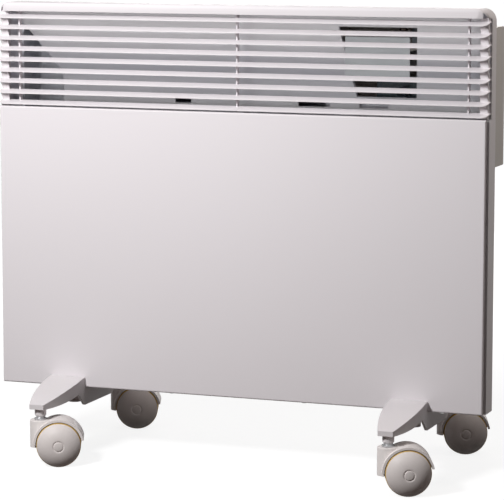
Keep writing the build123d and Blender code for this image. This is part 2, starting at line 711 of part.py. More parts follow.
def thermal_cutout():
    """Disc cut-out held against the back of the shield, with two blade terminals."""
    z = SHIELD_LOW + CUTOUT_RISE
    cap = SHIELD_REAR + CUTOUT_H
    blades = cap + CUTOUT_CAP_H
    cutout = deep(CUTOUT_X, z, SHIELD_REAR, cap, CUTOUT_R) + deep(CUTOUT_X, z, cap, blades, CUTOUT_CAP_R)
    for x in (CUTOUT_X - BLADE_SPACING / 2, CUTOUT_X + BLADE_SPACING / 2):
        edges = (x - BLADE_T / 2, x + BLADE_T / 2, blades, blades + BLADE_L)
        cutout += block(*edges, z - BLADE_W / 2, z + BLADE_W / 2)
    return cutout


def temperature_sensor():
    """Air sensor in its clip, low on the back of the pan, out of the warm stream."""
    x, front = PAN_RIGHT - SENSOR_INSET, PAN_BACK - CLIP_T
    low = SENSOR_Z - CLIP_H / 2
    clip = block(x - CLIP_W / 2, x + CLIP_W / 2, front, PAN_BACK, low, low + CLIP_H)
    return clip + upright(x, front, low, low + SENSOR_L, SENSOR_R)


# ---- Control box ----

def box_outline(inset):
    """The box seen from above: flush front, rear corners rounded."""
    width = BOX_W - 2 * inset
    depth = BOX_DEPTH - inset
    shape = Pos(BOARD_X, SHELL_DEPTH + depth / 2) * Rectangle(width, depth)
    return fillet(shape.vertices().group_by(Axis.Y)[-1], BOX_CORNER_R - inset)


def control_box():
    """Moulded box on the back of the casing's upper right corner."""
    box = Pos(0, 0, BOX_LOW) * extrude(box_outline(0), LID_LOW - BOX_LOW, dir=UP)
    ends = (BOX_LEFT + BOX_CORNER_R, HALF_W - BOX_CORNER_R)
    bulge = block(*ends, BOX_REAR, BOX_REAR + BOX_BULGE, BOX_LOW + BOX_CORNER_R, BOX_LOW + BOX_BULGE_H)
    box += chamfer(bulge.edges().filter_by(Axis.X).group_by(Axis.Y)[-1], BOX_BULGE - SEAT)
    box -= Pos(0, 0, BOX_LOW + BOX_WALL) * extrude(box_outline(BOX_WALL), BOX_H, dir=UP)
    for x, z in standoff_places():
        box += deep(x, z, BOARD_REAR, BOX_REAR - BOX_WALL / 2, STANDOFF_R)
    return box - upright(GLAND_X, BOX_MID_Y, BOX_LOW - OVER, BOX_LOW + BOX_WALL + OVER, GLAND_NECK_R + SNUG)


def standoff_places():
    reach_x, reach_z = BOARD_L / 2 - STANDOFF_INSET, BOARD_H / 2 - STANDOFF_INSET
    return [(BOARD_X + i * reach_x, BOARD_Z + j * reach_z) for i in (-1, 1) for j in (-1, 1)]


def control_board():
    edges = (BOARD_X - BOARD_L / 2, BOARD_X + BOARD_L / 2, BOARD_REAR - BOARD_T, BOARD_REAR)
    return block(*edges, BOARD_Z - BOARD_H / 2, BOARD_Z + BOARD_H / 2)


def board_parts():
    """Relay, supply and capacitor on the front of the board."""
    face = BOARD_REAR - BOARD_T
    pieces = []
    for (width, depth, height), (dx, dz) in ((RELAY, RELAY_PLACE), (SUPPLY, SUPPLY_PLACE)):
        x, z = BOARD_X + dx, BOARD_Z + dz
        pieces.append(block(x - width / 2, x + width / 2, face - depth, face, z - height / 2, z + height / 2))
    dx, dz = CAPACITOR_PLACE
    pieces.append(deep(BOARD_X + dx, BOARD_Z + dz, face - CAPACITOR_L, face, CAPACITOR_R))
    return pieces


def key_reach():
    """Half the length that the tilted key takes at its top."""
    tilt = radians(ROCKER_TILT)
    return ROCKER_L / 2 * cos(tilt) + KEY_END * sin(tilt)


def control_fascia():
    """Lid of the box, with the openings for the knob's shaft, the rocker and the pilot lamp."""
    lid = Pos(0, 0, LID_LOW) * extrude(box_outline(0), BOX_WALL, dir=UP)
    low, high = LID_LOW - OVER, BOX_TOP + OVER
    lid -= upright(KNOB_X, BOX_MID_Y, low, high, SHAFT_R + SHAFT_HOLE_PLAY)
    half_l, half_w = key_reach() + ROCKER_PLAY, ROCKER_W / 2 + ROCKER_PLAY
    lid -= block(ROCKER_X - half_l, ROCKER_X + half_l, BOX_MID_Y - half_w, BOX_MID_Y + half_w, low, high)
    return lid - upright(LENS_X, BOX_MID_Y, low, high, LENS_R)


def thermostat_knob():
    """Fluted knob with a pointer ridge across its top."""
    low = BOX_TOP + KNOB_GAP
    top = low + KNOB_H
    knob = upright(KNOB_X, BOX_MID_Y, low, top, KNOB_R)
    knob = chamfer(knob.edges().group_by(Axis.Z)[-1], KNOB_EDGE_R)
    for i in range(FLUTES):
        turn = radians(360 * i / FLUTES)
        x, y = KNOB_X + KNOB_R * cos(turn), BOX_MID_Y + KNOB_R * sin(turn)
        knob -= upright(x, y, low + KNOB_BAND, top + OVER, FLUTE_R)
    ridge_end = BOX_MID_Y - KNOB_R + FLUTE_R + KNOB_EDGE_R
    knob += block(KNOB_X - RIDGE_W / 2, KNOB_X + RIDGE_W / 2, ridge_end, BOX_MID_Y, top - OVER, top + RIDGE_H)
    return knob - upright(KNOB_X, BOX_MID_Y, low - OVER, top - KNOB_CROWN, SHAFT_R)


def thermostat_shaft():
    return upright(KNOB_X, BOX_MID_Y, LID_LOW - SHAFT_IN, BOX_TOP + KNOB_GAP + KNOB_H - KNOB_CROWN, SHAFT_R)


def thermostat_body():
    """Thermostat under the lid; the shaft turns in its bush."""
    half_w, half_d = THERMOSTAT_W / 2, THERMOSTAT_D / 2
    edges = (KNOB_X - half_w, KNOB_X + half_w, BOX_MID_Y - half_d, BOX_MID_Y + half_d)
    body = block(*edges, LID_LOW - THERMOSTAT_H, LID_LOW)
    return body - upright(KNOB_X, BOX_MID_Y, LID_LOW - SHAFT_IN - SEAT, LID_LOW + OVER, SHAFT_R + RUNNING)


def mode_rocker():
    """Switch key with two shallow faces, resting on its off side."""
    half = ROCKER_L / 2
    key = make_face(Polyline(
        (-half, -KEY_SKIRT), (-half + KEY_TAPER, -KEY_KEEL), (half - KEY_TAPER, -KEY_KEEL),
        (half, -KEY_SKIRT), (half, KEY_END), (0, KEY_END - KEY_DIP), (-half, KEY_END), close=True
    ))
    key = across(key, -ROCKER_W / 2, ROCKER_W / 2)
    key -= deep(0, 0, -ROCKER_W, ROCKER_W, PIVOT_R + RUNNING)
    return Pos(ROCKER_X, BOX_MID_Y, BOX_TOP - ROCKER_PIVOT) * Rot(0, ROCKER_TILT, 0) * key


def switch_body():
    """Switch housing below the lid, with the pin that the key rocks on."""
    room_l, room_w = ROCKER_L / 2 + SWITCH_ROOM, ROCKER_W / 2 + ROCKER_PLAY
    half_l, half_w = room_l + SWITCH_WALL, room_w + SWITCH_WALL
    edges = (ROCKER_X - half_l, ROCKER_X + half_l, BOX_MID_Y - half_w, BOX_MID_Y + half_w)
    body = block(*edges, LID_LOW - SWITCH_H, LID_LOW)
    room = (ROCKER_X - room_l, ROCKER_X + room_l, BOX_MID_Y - room_w, BOX_MID_Y + room_w)
    body -= block(*room, LID_LOW - SWITCH_ROOM_H, LID_LOW + OVER)
    pin = room_w + SWITCH_WALL / 2
    return body + deep(ROCKER_X, BOX_TOP - ROCKER_PIVOT, BOX_MID_Y - pin, BOX_MID_Y + pin, PIVOT_R)


def pilot_lens():
    """Small domed lens, shouldered under the lid."""
    low = LID_LOW - LENS_IN
    lens = upright(LENS_X, BOX_MID_Y, low, BOX_TOP + LENS_PROUD, LENS_R - SNUG)
    lens = chamfer(lens.edges().group_by(Axis.Z)[-1], LENS_DOME)
    return lens + upright(LENS_X, BOX_MID_Y, low, LID_LOW, LENS_R + LENS_SHOULDER)


def terminal_block():
    """Three way block on the floor of the box, beside the cord's inlet."""
    x, low = GLAND_X - TERMINAL_GAP, BOX_LOW + BOX_WALL
    half_w, half_d = TERMINAL_W / 2, TERMINAL_D / 2
    body = block(x - half_w, x + half_w, BOX_MID_Y - half_d, BOX_MID_Y + half_d, low, low + TERMINAL_H)
    for i in (-1, 0, 1):
        ends = (low + TERMINAL_FLOOR, low + TERMINAL_H + OVER)
        body -= upright(x + TERMINAL_PITCH * i, BOX_MID_Y, *ends, TERMINAL_HOLE_R)
    return body


def cord_gland():
    """Bush in the box's bottom that the mains cord passes through."""
    low, floor = BOX_LOW - GLAND_FLANGE, BOX_LOW + BOX_WALL
    gland = upright(GLAND_X, BOX_MID_Y, low, BOX_LOW, GLAND_R)
    gland += upright(GLAND_X, BOX_MID_Y, low, low + GLAND_L, GLAND_NECK_R)
    gland += upright(GLAND_X, BOX_MID_Y, floor, floor + GLAND_NUT_H, GLAND_NUT_R)
    return gland - upright(GLAND_X, BOX_MID_Y, low - OVER, low + GLAND_L + OVER, GLAND_BORE_R)


def casing_screws():
    """Screws up into the front panel's lower flange, and those round the pan's rim."""
    screws = [
        screw_upward(x, y, 0, SCREW_R, SCREW_L, SCREW_HEAD_R, SCREW_HEAD_H) for x, y in panel_screw_places()
    ]
    return screws + [screw_forward(x, z, RIM_REAR, PAN_SCREW_L) for x, z in pan_screw_places()]


# ---- Feet, drawn about their own middle with z from the floor ----

def foot_plan():
    """Leaf shape from above: narrow tips, full width past the shoulders."""
    tip, wide = TIP_HALF_W, FOOT_HALF_W
    bend = (wide - (wide - tip) * SHOULDER_HOLLOW, (FOOT_HALF_L + SHOULDER_Y) / 2)
    quarter = ThreePointArc((tip, FOOT_HALF_L), bend, (wide, SHOULDER_Y))
    edge = quarter + Line((wide, SHOULDER_Y), (wide, -SHOULDER_Y)) + mirror(quarter, Plane.XZ)
    other = mirror(edge, Plane.YZ)
    ends = [Line((-tip, y), (tip, y)) for y in (-FOOT_HALF_L, FOOT_HALF_L)]
    return make_face(edge + other + ends)


def arm_lines(sign):
    """One arm of the foot seen from the side, from the saddle round to the keel."""
    end = FOOT_HALF_L
    top_mid = (sign * (end + SADDLE) / 2, (TIP_TOP + ARM_TOP) / 2 + ARM_BOW)
    arch_mid = (sign * (end + ARCH_Y) / 2, (TIP_LOW + ARCH_TOP) / 2 - ARCH_BOW)
    return [
        Line((sign * SADDLE, FLOOR_GAP), (sign * SADDLE, ARM_TOP)),
        ThreePointArc((sign * SADDLE, ARM_TOP), top_mid, (sign * end, TIP_TOP)),
        Line((sign * end, TIP_TOP), (sign * end, TIP_LOW)),
        ThreePointArc((sign * end, TIP_LOW), arch_mid, (sign * ARCH_Y, ARCH_TOP)),
        Line((sign * ARCH_Y, ARCH_TOP), (sign * KEEL_Y, KEEL_LOW)),
    ]


def foot_side():
    """Seen from the side: sloping arms, the saddle for the casing, arches and the keel."""
    keel = Line((-KEEL_Y, KEEL_LOW), (KEEL_Y, KEEL_LOW))
    seat = Line((-SADDLE, FLOOR_GAP), (SADDLE, FLOOR_GAP))
    outline = make_face(arm_lines(-1) + arm_lines(1) + [keel, seat])
    return fillet(outline.vertices().group_by(Axis.Y)[0], KEEL_R)


def ceiling(y):
    """Height of the hollow's ceiling, a wall's thickness under the arm's sloping top."""
    slope = (ARM_TOP - TIP_TOP) / (FOOT_HALF_L - SADDLE)
    return ARM_TOP - (y - SADDLE) * slope - FOOT_CEILING


def foot_hollow():
    """Room under the foot, open below, with a ceiling that follows the arms and the seat."""
    end, near, roof = HOLLOW_Y, SADDLE + FOOT_WALL, FLOOR_GAP - FOOT_CEILING
    side = make_face(Polyline(
        (-end, 0), (end, 0), (end, ceiling(end)), (near, ceiling(near)), (near, roof),
        (-near, roof), (-near, ceiling(near)), (-end, ceiling(end)), close=True
    ))
    return along(side, -FOOT_HALF_W, FOOT_HALF_W) & extrude(offset(foot_plan(), -FOOT_WALL), ARM_TOP, dir=UP)


def foot():
    """One moulded foot: a shell with keeled side walls, two stem sockets and two screw bosses."""
    body = along(foot_side(), -FOOT_HALF_W - OVER, FOOT_HALF_W + OVER)
    body &= extrude(foot_plan(), ARM_TOP + OVER, dir=UP)
    body -= foot_hollow()
    for y in (-FOOT_SCREW_Y, FOOT_SCREW_Y):
        body += upright(0, y, KEEL_LOW, FLOOR_GAP - FOOT_CEILING, BOSS_R)
    for y in (-STEM_Y, STEM_Y):
        body -= upright(0, y, 0, SOCKET_TOP, SOCKET_SHANK_R)
        body -= upright(0, y, 0, TIP_LOW, SOCKET_R)
    for y in (-FOOT_SCREW_Y, FOOT_SCREW_Y):
        body -= upright(0, y, 0, ARM_TOP, FOOT_SCREW_R)
        body -= upright(0, y, 0, KEEL_LOW + FOOT_SCREW_DEEP, FOOT_SCREW_HEAD_R + SEAT)
    return body


def foot_clamp():
    """Steel strip between the casing's back and the foot's rear shoulder."""
    edges = (-CLAMP_W / 2, CLAMP_W / 2, SADDLE - CLAMP_T, SADDLE, FLOOR_GAP, FLOOR_GAP + CLAMP_H)
    strip = block(*edges)
    strip = fillet(strip.edges().filter_by(Axis.Y).group_by(Axis.Z)[-1], CLAMP_CORNER_R)
    for x in (-CLAMP_SCREW_X, CLAMP_SCREW_X):
        z = FLOOR_GAP + CLAMP_H - CLAMP_SCREW_DROP
        strip -= deep(x, z, SADDLE - CLAMP_T - OVER, SADDLE + OVER, SCREW_R)
    return strip


def foot_screws():
    """Screws up through the feet into the casing, and those through the clamps."""
    screws = []
    head_top = KEEL_LOW + FOOT_SCREW_DEEP
    shank = FLOOR_GAP + FOOT_SCREW_IN - head_top
    for x in (-FOOT_X, FOOT_X):
        for y in (FOOT_Y - FOOT_SCREW_Y, FOOT_Y + FOOT_SCREW_Y):
            head = (FOOT_SCREW_HEAD_R, FOOT_SCREW_HEAD_H)
            screws.append(screw_upward(x, y, head_top, FOOT_SCREW_R, shank, *head))
    for x, z in clamp_screw_places():
        screws.append(screw_forward(x, FLOOR_GAP + z, FOOT_Y + SADDLE, CLAMP_SCREW_L))
    return screws


# ---- Castors, drawn about the stem with the wheels trailing towards +X ----

def castor_socket():
    """Sleeve pressed up into the foot's tip."""
    sleeve = upright(0, 0, SOCKET_LOW, TIP_LOW, SOCKET_R)
    sleeve += upright(0, 0, SOCKET_LOW, SOCKET_TOP, SOCKET_SHANK_R)
    return sleeve - upright(0, 0, SOCKET_LOW - OVER, STEM_TOP, STEM_R)


def castor_stem():
    """Steel stem with its collar; the hood turns on its lower end."""
    collar = HOUSING_TOP + SEAT
    stem = upright(0, 0, STEM_FLOOR + SEAT, STEM_TOP, STEM_R)
    stem += upright(0, 0, collar, collar + COLLAR_H, COLLAR_R)
    cone = Cone(STEM_R, CONE_R, CONE_H, align=(Align.CENTER, Align.CENTER, Align.MAX))
    return stem + Pos(0, 0, SOCKET_LOW) * cone


def wheel_zone(radius, near, far):
    """A disc about the axle's line, between two distances from the middle plane."""
    return Pos(TRAIL, far, WHEEL_R) * Rot(90, 0, 0) * extrude(Circle(radius), far - near, dir=UP)


def castor_hood():
    """Round housing for the stem, the web between the wheels and the guard over them."""
    guard = wheel_zone(HOOD_R, -WHEEL_RIM, WHEEL_RIM)
    reach = 2 * HOOD_R
    end_x, end_z = reach * cos(radians(HOOD_END)), reach * sin(radians(HOOD_END))
    corners = ((0, 0), (end_x, end_z), (reach, reach), (-reach, reach), (-reach, 0))
    upper = make_face(Polyline(*corners, close=True))
    guard &= across(Pos(TRAIL, WHEEL_R) * upper, -WHEEL_RIM - OVER, WHEEL_RIM + OVER)
    housing = upright(0, 0, HOUSING_LOW, HOUSING_TOP, HOUSING_R)
    housing = fillet(housing.edges().group_by(Axis.Z)[-1], HOUSING_EDGE_R)
    web = wheel_zone(WHEEL_R - WEB_DROP, -WEB_HALF, WEB_HALF)
    web += block(0, TRAIL, -WEB_HALF, WEB_HALF, HOUSING_LOW, HOUSING_TOP - BRIDGE_DROP)
    hood = guard + housing + web
    for near, far in ((-WHEEL_FACE, -WEB_HALF), (WEB_HALF, WHEEL_FACE)):
        hood -= wheel_zone(HOOD_IN_R, near, far)
    hood -= upright(0, 0, STEM_FLOOR, HOUSING_TOP + HOOD_R, STEM_R + RUNNING)
    return hood - wheel_zone(AXLE_R, -WHEEL_RIM, WHEEL_RIM)


def castor_axle():
    return wheel_zone(AXLE_R, -AXLE_HALF, AXLE_HALF)


def wheel_profile():
    """Half section of a wheel: flat inner face, tread, domed face and the groove round the hub."""
    inner, rim, face = WHEEL_IN, WHEEL_RIM, WHEEL_FACE
    groove_r = HUB_R + HUB_GROOVE
    round_in = TREAD_EDGE_R * (1 - cos(radians(45)))
    return make_face([
        Line((0, inner), (WHEEL_R - TREAD_EDGE_R, inner)),
        ThreePointArc(
            (WHEEL_R - TREAD_EDGE_R, inner), (WHEEL_R - round_in, inner + round_in),
            (WHEEL_R, inner + TREAD_EDGE_R)
        ),
        Line((WHEEL_R, inner + TREAD_EDGE_R), (WHEEL_R, rim)),
        ThreePointArc((WHEEL_R, rim), (DOME_MID_R, rim + DOME_MID_H), (groove_r, face - HUB_STEP)),
        Line((groove_r, face - HUB_STEP), (HUB_R, face - HUB_GROOVE)),
        Line((HUB_R, face - HUB_GROOVE), (HUB_R - HUB_GROOVE, face)),
        Line((HUB_R - HUB_GROOVE, face), (0, face)),
        Line((0, face), (0, inner)),
    ])


def castor_wheel(side):
    """Twin castor wheel with a blind hole that turns on the axle's end."""
    wheel = revolve(wheel_profile(), Axis.Y)
    hole = Cylinder(AXLE_R + RUNNING, AXLE_IN + SEAT + OVER, align=(Align.CENTER, Align.CENTER, Align.MIN))
    wheel -= Rot(-90, 0, 0) * Pos(0, 0, WHEEL_IN - OVER) * hole
    if side < 0:
        wheel = Rot(0, 0, 180) * wheel
    return Pos(TRAIL, 0, WHEEL_R) * wheel


# ---- Everything in its place ----

def casing_pieces():
    return {
        "front_panel": front_panel(), "rear_casing": rear_casing(), "rear_pan": rear_pan(),
        "air_inlet_grid": air_inlet_grid(), "grille_frame": grille_frame(),
        "outlet_louvres": outlet_louvres(), "heat_shield": heat_shield(),
        "control_bracket": control_bracket(), "heating_element": heating_element(),
        "element_rod": element_rod(), "element_insulator_left": element_insulator(-1),
        "element_insulator_right": element_insulator(1), "element_holder_left": element_holder(-1),
        "element_holder_right": element_holder(1), "thermal_cutout": thermal_cutout(),
        "temperature_sensor": temperature_sensor(), "control_box": control_box(),
        "control_fascia": control_fascia(), "thermostat_knob": thermostat_knob(),
        "thermostat_shaft": thermostat_shaft(), "thermostat_body": thermostat_body(),
        "mode_rocker": mode_rocker(), "switch_body": switch_body(), "pilot_lens": pilot_lens(),
        "control_board": control_board(), "board_parts": board_parts(),
        "terminal_block": terminal_block(), "cord_gland": cord_gland(), "casing_screws": casing_screws(),
    }


def castor_pieces(place):
    """The pieces of one castor, turned to the way it stands."""
    side = -1 if place.endswith("left") else 1
    end = -1 if place.startswith("front") else 1
    here = Pos(side * FOOT_X, FOOT_Y + end * STEM_Y, 0)
    turned = here * Rot(0, 0, SWIVEL[place])
    return {
        "castor_socket_" + place: here * castor_socket(), "castor_stem_" + place: here * castor_stem(),
        "castor_hood_" + place: turned * castor_hood(), "castor_axle_" + place: turned * castor_axle(),
        "wheel_outer_" + place: turned * castor_wheel(-1), "wheel_inner_" + place: turned * castor_wheel(1),
    }


def gather(shape):
    """Several pieces as one node of separate solids."""
    if not isinstance(shape, list):
        return shape
    return Compound(children=[solid for piece in shape for solid in piece.solids()])


def main():
    os.makedirs(STEPS, exist_ok=True)
    at_casing = Pos(0, FRONT_Y, FLOOR_GAP)
    nodes = {name: at_casing * gather(shape) for name, shape in casing_pieces().items()}
    for name, side in (("left", -1), ("right", 1)):
        at_foot = Pos(side * FOOT_X, FOOT_Y, 0)
        nodes["foot_" + name] = at_foot * foot()
        nodes["foot_clamp_" + name] = at_foot * foot_clamp()
    nodes["foot_screws"] = gather(foot_screws())
    for place in SWIVEL:
        nodes.update(castor_pieces(place))
    for name, shape in nodes.items():
        export_step(shape, STEPS + "/" + name + ".step")
    print(len(nodes), "nodes written")


main()
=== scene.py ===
# %% [markdown]
# # A panel heater on castors
# A slim electric heater: a white enamelled steel casing, a louvred outlet across its top and two
# plastic feet on twin-wheel castors. The engineering model is loaded first and stays as it is.
# Each step below dresses one part of it, either with a finish or with a more finely made piece
# that stands for the plain solid.

# %% Load the frame
import json
from cmath import phase
from math import cos, pi, radians, sin

import bmesh
import bpy
from mathutils import Matrix, Vector


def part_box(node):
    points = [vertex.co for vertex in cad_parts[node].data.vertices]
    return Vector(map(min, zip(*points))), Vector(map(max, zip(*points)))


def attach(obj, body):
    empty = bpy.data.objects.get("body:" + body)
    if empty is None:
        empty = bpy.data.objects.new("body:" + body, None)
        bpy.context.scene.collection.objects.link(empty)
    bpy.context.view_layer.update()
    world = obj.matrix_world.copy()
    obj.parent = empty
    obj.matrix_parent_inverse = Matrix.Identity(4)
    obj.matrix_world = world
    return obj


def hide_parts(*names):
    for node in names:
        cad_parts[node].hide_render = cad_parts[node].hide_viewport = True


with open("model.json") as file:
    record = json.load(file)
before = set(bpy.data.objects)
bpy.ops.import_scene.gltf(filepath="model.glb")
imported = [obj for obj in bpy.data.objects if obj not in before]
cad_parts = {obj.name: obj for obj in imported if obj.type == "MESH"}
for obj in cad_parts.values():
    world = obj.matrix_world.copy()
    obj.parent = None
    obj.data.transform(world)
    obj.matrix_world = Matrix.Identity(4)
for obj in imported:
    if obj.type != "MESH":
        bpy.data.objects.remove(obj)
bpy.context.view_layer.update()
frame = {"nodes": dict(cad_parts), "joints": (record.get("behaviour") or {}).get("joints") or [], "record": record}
MM = 0.001
scene = bpy.context.scene
scene.view_settings.view_transform = "Standard"
bodies = frame["record"]["behaviour"]["bodies"]
node_body = {node: body for body, nodes in bodies.items() for node in nodes}
node_slot = {row["node"]: row["material_slot"] for row in frame["record"]["subparts"]}
joints = {joint["name"]: joint for joint in frame["joints"]}

# %% [markdown]
# ## The camera
# The picture was taken from the right, a little above the casing, with a long lens. A long lens
# keeps the panel's edges almost parallel. The place and the lens were worked out from the
# casing's corners and the castors' hubs, so the camera is set by numbers and not by eye.

# %% Camera
PICTURE_W = 504.0
SENSOR_MM = 36.0
FOCAL_PX = 2543.3
CAMERA_AT = (1.0051, -2.6711, 0.6298)
YAW_DEG = 20.547
PITCH_DEG = 7.814

camera_data = bpy.data.cameras.new("photo_camera")
camera_data.sensor_width = SENSOR_MM
camera_data.lens = FOCAL_PX / PICTURE_W * SENSOR_MM
camera = bpy.data.objects.new("photo_camera", camera_data)
camera.location = CAMERA_AT
camera.rotation_euler = (radians(90 - PITCH_DEG), 0, radians(YAW_DEG))
scene.collection.objects.link(camera)
scene.camera = camera
print("lens, mm:", round(camera_data.lens, 1))

# %% [markdown]
# ## Sums that make nodes
# Finishes and repeated shapes are both made of nodes, and long chains of nodes are hard to read.
# A small class wraps one socket, so that `1 - mask` adds a Math node and reads like a sum. Every
# other node comes from its single method, which takes the kind of node, then the settings, and
# then the values or links of the inputs.

# %% The wire class
class Wire:
    """One output socket of a node tree, used like a number in Python."""

    def __init__(self, tree, socket=None):
        self.tree = tree
        self.socket = socket

    def node(self, kind, settings=None, values=None, out=0):
        """A new node, as a wire from one of its outputs, or an empty wire where it has none.
        A list of wires feeds one input that takes several links."""
        made = self.tree.nodes.new(kind)
        for name, setting in (settings or {}).items():
            if name == "stops":
                lay_stops(made.color_ramp, setting)
            else:
                setattr(made, name, setting)
        for key, value in (values or {}).items():
            items = value if isinstance(value, list) else [value]
            for item in items:
                if isinstance(item, Wire):
                    self.tree.links.new(item.socket, made.inputs[key])
                else:
                    made.inputs[key].default_value = item
        return Wire(self.tree, made.outputs[out] if made.outputs else None)

    def math(self, operation, other=0.0):
        return self.node("ShaderNodeMath", {"operation": operation}, {0: self, 1: other})

    def math_after(self, operation, first):
        """The same with the other value first, as in 1 - mask."""
        return self.node("ShaderNodeMath", {"operation": operation}, {0: first, 1: self})

    def part(self, axis):
        """The X, Y or Z of a vector."""
        return self.node("ShaderNodeSeparateXYZ", None, {0: self}, out=axis)

    def __add__(self, other):
        return self.math("ADD", other)

    def __sub__(self, other):
        return self.math("SUBTRACT", other)

    def __mul__(self, other):
        return self.math("MULTIPLY", other)

    def __truediv__(self, other):
        return self.math("DIVIDE", other)

    def __pow__(self, other):
        return self.math("POWER", other)

    def __rsub__(self, other):
        return self.math_after("SUBTRACT", other)

    def __rtruediv__(self, other):
        return self.math_after("DIVIDE", other)

    def __rpow__(self, other):
        return self.math_after("POWER", other)

    __radd__ = __add__
    __rmul__ = __mul__


def lay_stops(ramp, stops):
    """A ramp's stops, as (place, grey level) pairs."""
    while len(ramp.elements) < len(stops):
        ramp.elements.new(0.5)
    for element, (place, level) in zip(ramp.elements, stops):
        element.position = place
        element.color = (level, level, level, 1.0)


print("wire class ready")

# %% [markdown]
# ## Finishes
# Every finish starts from the same principled shader. What varies over the surface is noise at
# the real scale of that material, in metres of the object's own coordinates: the fine ripple of
# stove enamel, the grain of a plastic moulding, the drawn lines of steel sheet. A Mix node has
# sockets for numbers, vectors and colours, so the ones for colours go by their number.

# %% Helpers for finishes
MIX_LOW, MIX_HIGH, MIX_RESULT = 6, 7, 2
EVEN = (1.0, 1.0, 1.0)
SATIN = {"Specular IOR Level": 0.28}
finishes = {}


def new_finish(slot, settings=None):
    """A new material's shader, and the surface's own coordinates as a wire."""
    material = bpy.data.materials.new(slot)
    material.use_nodes = True
    finishes[slot] = material
    shader = material.node_tree.nodes["Principled BSDF"]
    for name, value in (settings or {}).items():
        shader.inputs[name].default_value = value
    return shader, Wire(material.node_tree).node("ShaderNodeTexCoord", out="Object")


def link(shader, name, wire):
    wire.tree.links.new(wire.socket, shader.inputs[name])


def paint(low, high, mask):
    """Two colours, or wires that carry colours, mixed by a mask."""
    low, high = [colour if isinstance(colour, Wire) else (*colour, 1.0) for colour in (low, high)]
    values = {"Factor": mask, MIX_LOW: low, MIX_HIGH: high}
    return mask.node("ShaderNodeMix", {"data_type": "RGBA"}, values, out=MIX_RESULT)


def noise(place, scale, detail, stretch=EVEN):
    """Noise from 0 to 1. The scale is features per metre."""
    if stretch != EVEN:
        place = place.node("ShaderNodeMapping", None, {"Vector": place, "Scale": stretch})
    values = {"Vector": place, "Scale": scale, "Detail": detail}
    return place.node("ShaderNodeTexNoise", None, values)


def bump(height, depth, strength=1.0):
    """A height from 0 to 1 made into a normal. The depth is in metres."""
    values = {"Height": height, "Distance": depth, "Strength": strength}
    return height.node("ShaderNodeBump", None, values)


print("finish helpers ready")

# %% [markdown]
# Stove enamel is sprayed and baked. Its gloss is soft, and close up it has a faint ripple, called
# orange peel, about two millimetres from crest to crest. The ripple is far too fine to model as
# a mesh, so it is a bump from noise. A second, slower noise shifts the gloss by a hair, which
# keeps a large flat panel from looking like plain plastic.
#
# The casing is sprayed from outside only. Where the sheet is seen from inside, it is bare metal
# with a little dust. One attribute on the mesh, `bare`, says which faces those are, so one
# material does both sides of the same sheet.

# %% Enamel
ENAMEL = (0.800, 0.764, 0.785)
ENAMEL_DRIFT = (0.786, 0.749, 0.768)
SHEET_INSIDE = (0.840, 0.860, 0.900)
SHEET_DUST = (0.720, 0.750, 0.800)


def enamel(slot):
    """Enamel outside, dusty sheet where the mesh says that a face is bare."""
    shader, place = new_finish(slot, SATIN)
    ripple = noise(place, 480.0, 1.0)
    grain = noise(place, 2600.0, 1.0)
    cloud = noise(place, 5.0, 2.0)
    streak = noise(place, 260.0, 3.0, (0.05, 1.0, 1.0))
    bare = place.node("ShaderNodeAttribute", {"attribute_name": "bare"}, out="Fac")
    outside = paint(ENAMEL, ENAMEL_DRIFT, cloud)
    inside = paint(SHEET_INSIDE, SHEET_DUST, streak)
    link(shader, "Base Color", paint(outside, inside, bare))
    link(shader, "Roughness", 0.44 + 0.08 * cloud + 0.04 * grain)
    link(shader, "Metallic", 0.15 * bare)
    link(shader, "Normal", bump(ripple + 0.25 * grain, 0.04 * MM, 0.5))


enamel("white_enamel")
print("enamel ready, nodes:", len(finishes["white_enamel"].node_tree.nodes))

# %% [markdown]
# The feet, the castors and the control box are moulded plastic. A mould leaves an even spark
# texture of about half a millimetre, and the colour drifts a little where the plastic cooled
# slower. A picture of plastic would show its repeats here, so both are noise: a fine one for the
# grain and a slow one for the drift. The same small function makes all of the plastics, each with
# its own colour and gloss.

# %% Moulded plastics
def moulded(slot, colour, deeper, roughness):
    """Moulded plastic: a fine even grain, and a slow drift in its colour and gloss."""
    shader, place = new_finish(slot, SATIN)
    grain = noise(place, 2200.0, 2.0)
    drift = noise(place, 28.0, 2.0)
    link(shader, "Base Color", paint(colour, deeper, drift))
    link(shader, "Roughness", roughness + 0.10 * grain + 0.06 * drift)
    link(shader, "Normal", bump(grain, 0.03 * MM, 0.6))


moulded("foot_plastic", (0.728, 0.695, 0.705), (0.704, 0.671, 0.677), 0.44)
moulded("castor_plastic", (0.850, 0.806, 0.790), (0.826, 0.778, 0.758), 0.40)
moulded("box_plastic", (0.640, 0.610, 0.580), (0.620, 0.586, 0.554), 0.48)
moulded("knob_plastic", (0.780, 0.745, 0.735), (0.755, 0.715, 0.700), 0.34)
moulded("black_plastic", (0.150, 0.170, 0.186), (0.170, 0.190, 0.206), 0.50)
moulded("board_plastic", (0.085, 0.115, 0.145), (0.095, 0.130, 0.162), 0.45)
moulded("cream_plastic", (0.680, 0.600, 0.440), (0.640, 0.560, 0.400), 0.45)
print("finishes so far:", len(finishes))

# %% [markdown]
# The castor wheels have domed faces with faint rays round the hub, left by the tool that cut the
# mould, and a tread of softer, ochre plastic. The rays roughen the gloss and the bump; in the colour,
# paler and deeper rays are a painted sheen that stands for the light the domes reflect. Of the tread
# only a thin golden line shows, in the gap under the hood. Both need to know where a point is on its
# own wheel, so each wheel carries its turn and its distance from the axle in a UV map, and the
# finish reads them from there.

# %% Wheel finish
FACE_SHEEN_PALE = (0.770, 0.718, 0.700)
FACE_SHEEN_DEEP = (0.735, 0.680, 0.658)
TREAD_OCHRE = (0.640, 0.430, 0.150)
TREAD_START = 0.486
RAYS_PER_TURN = 46.0


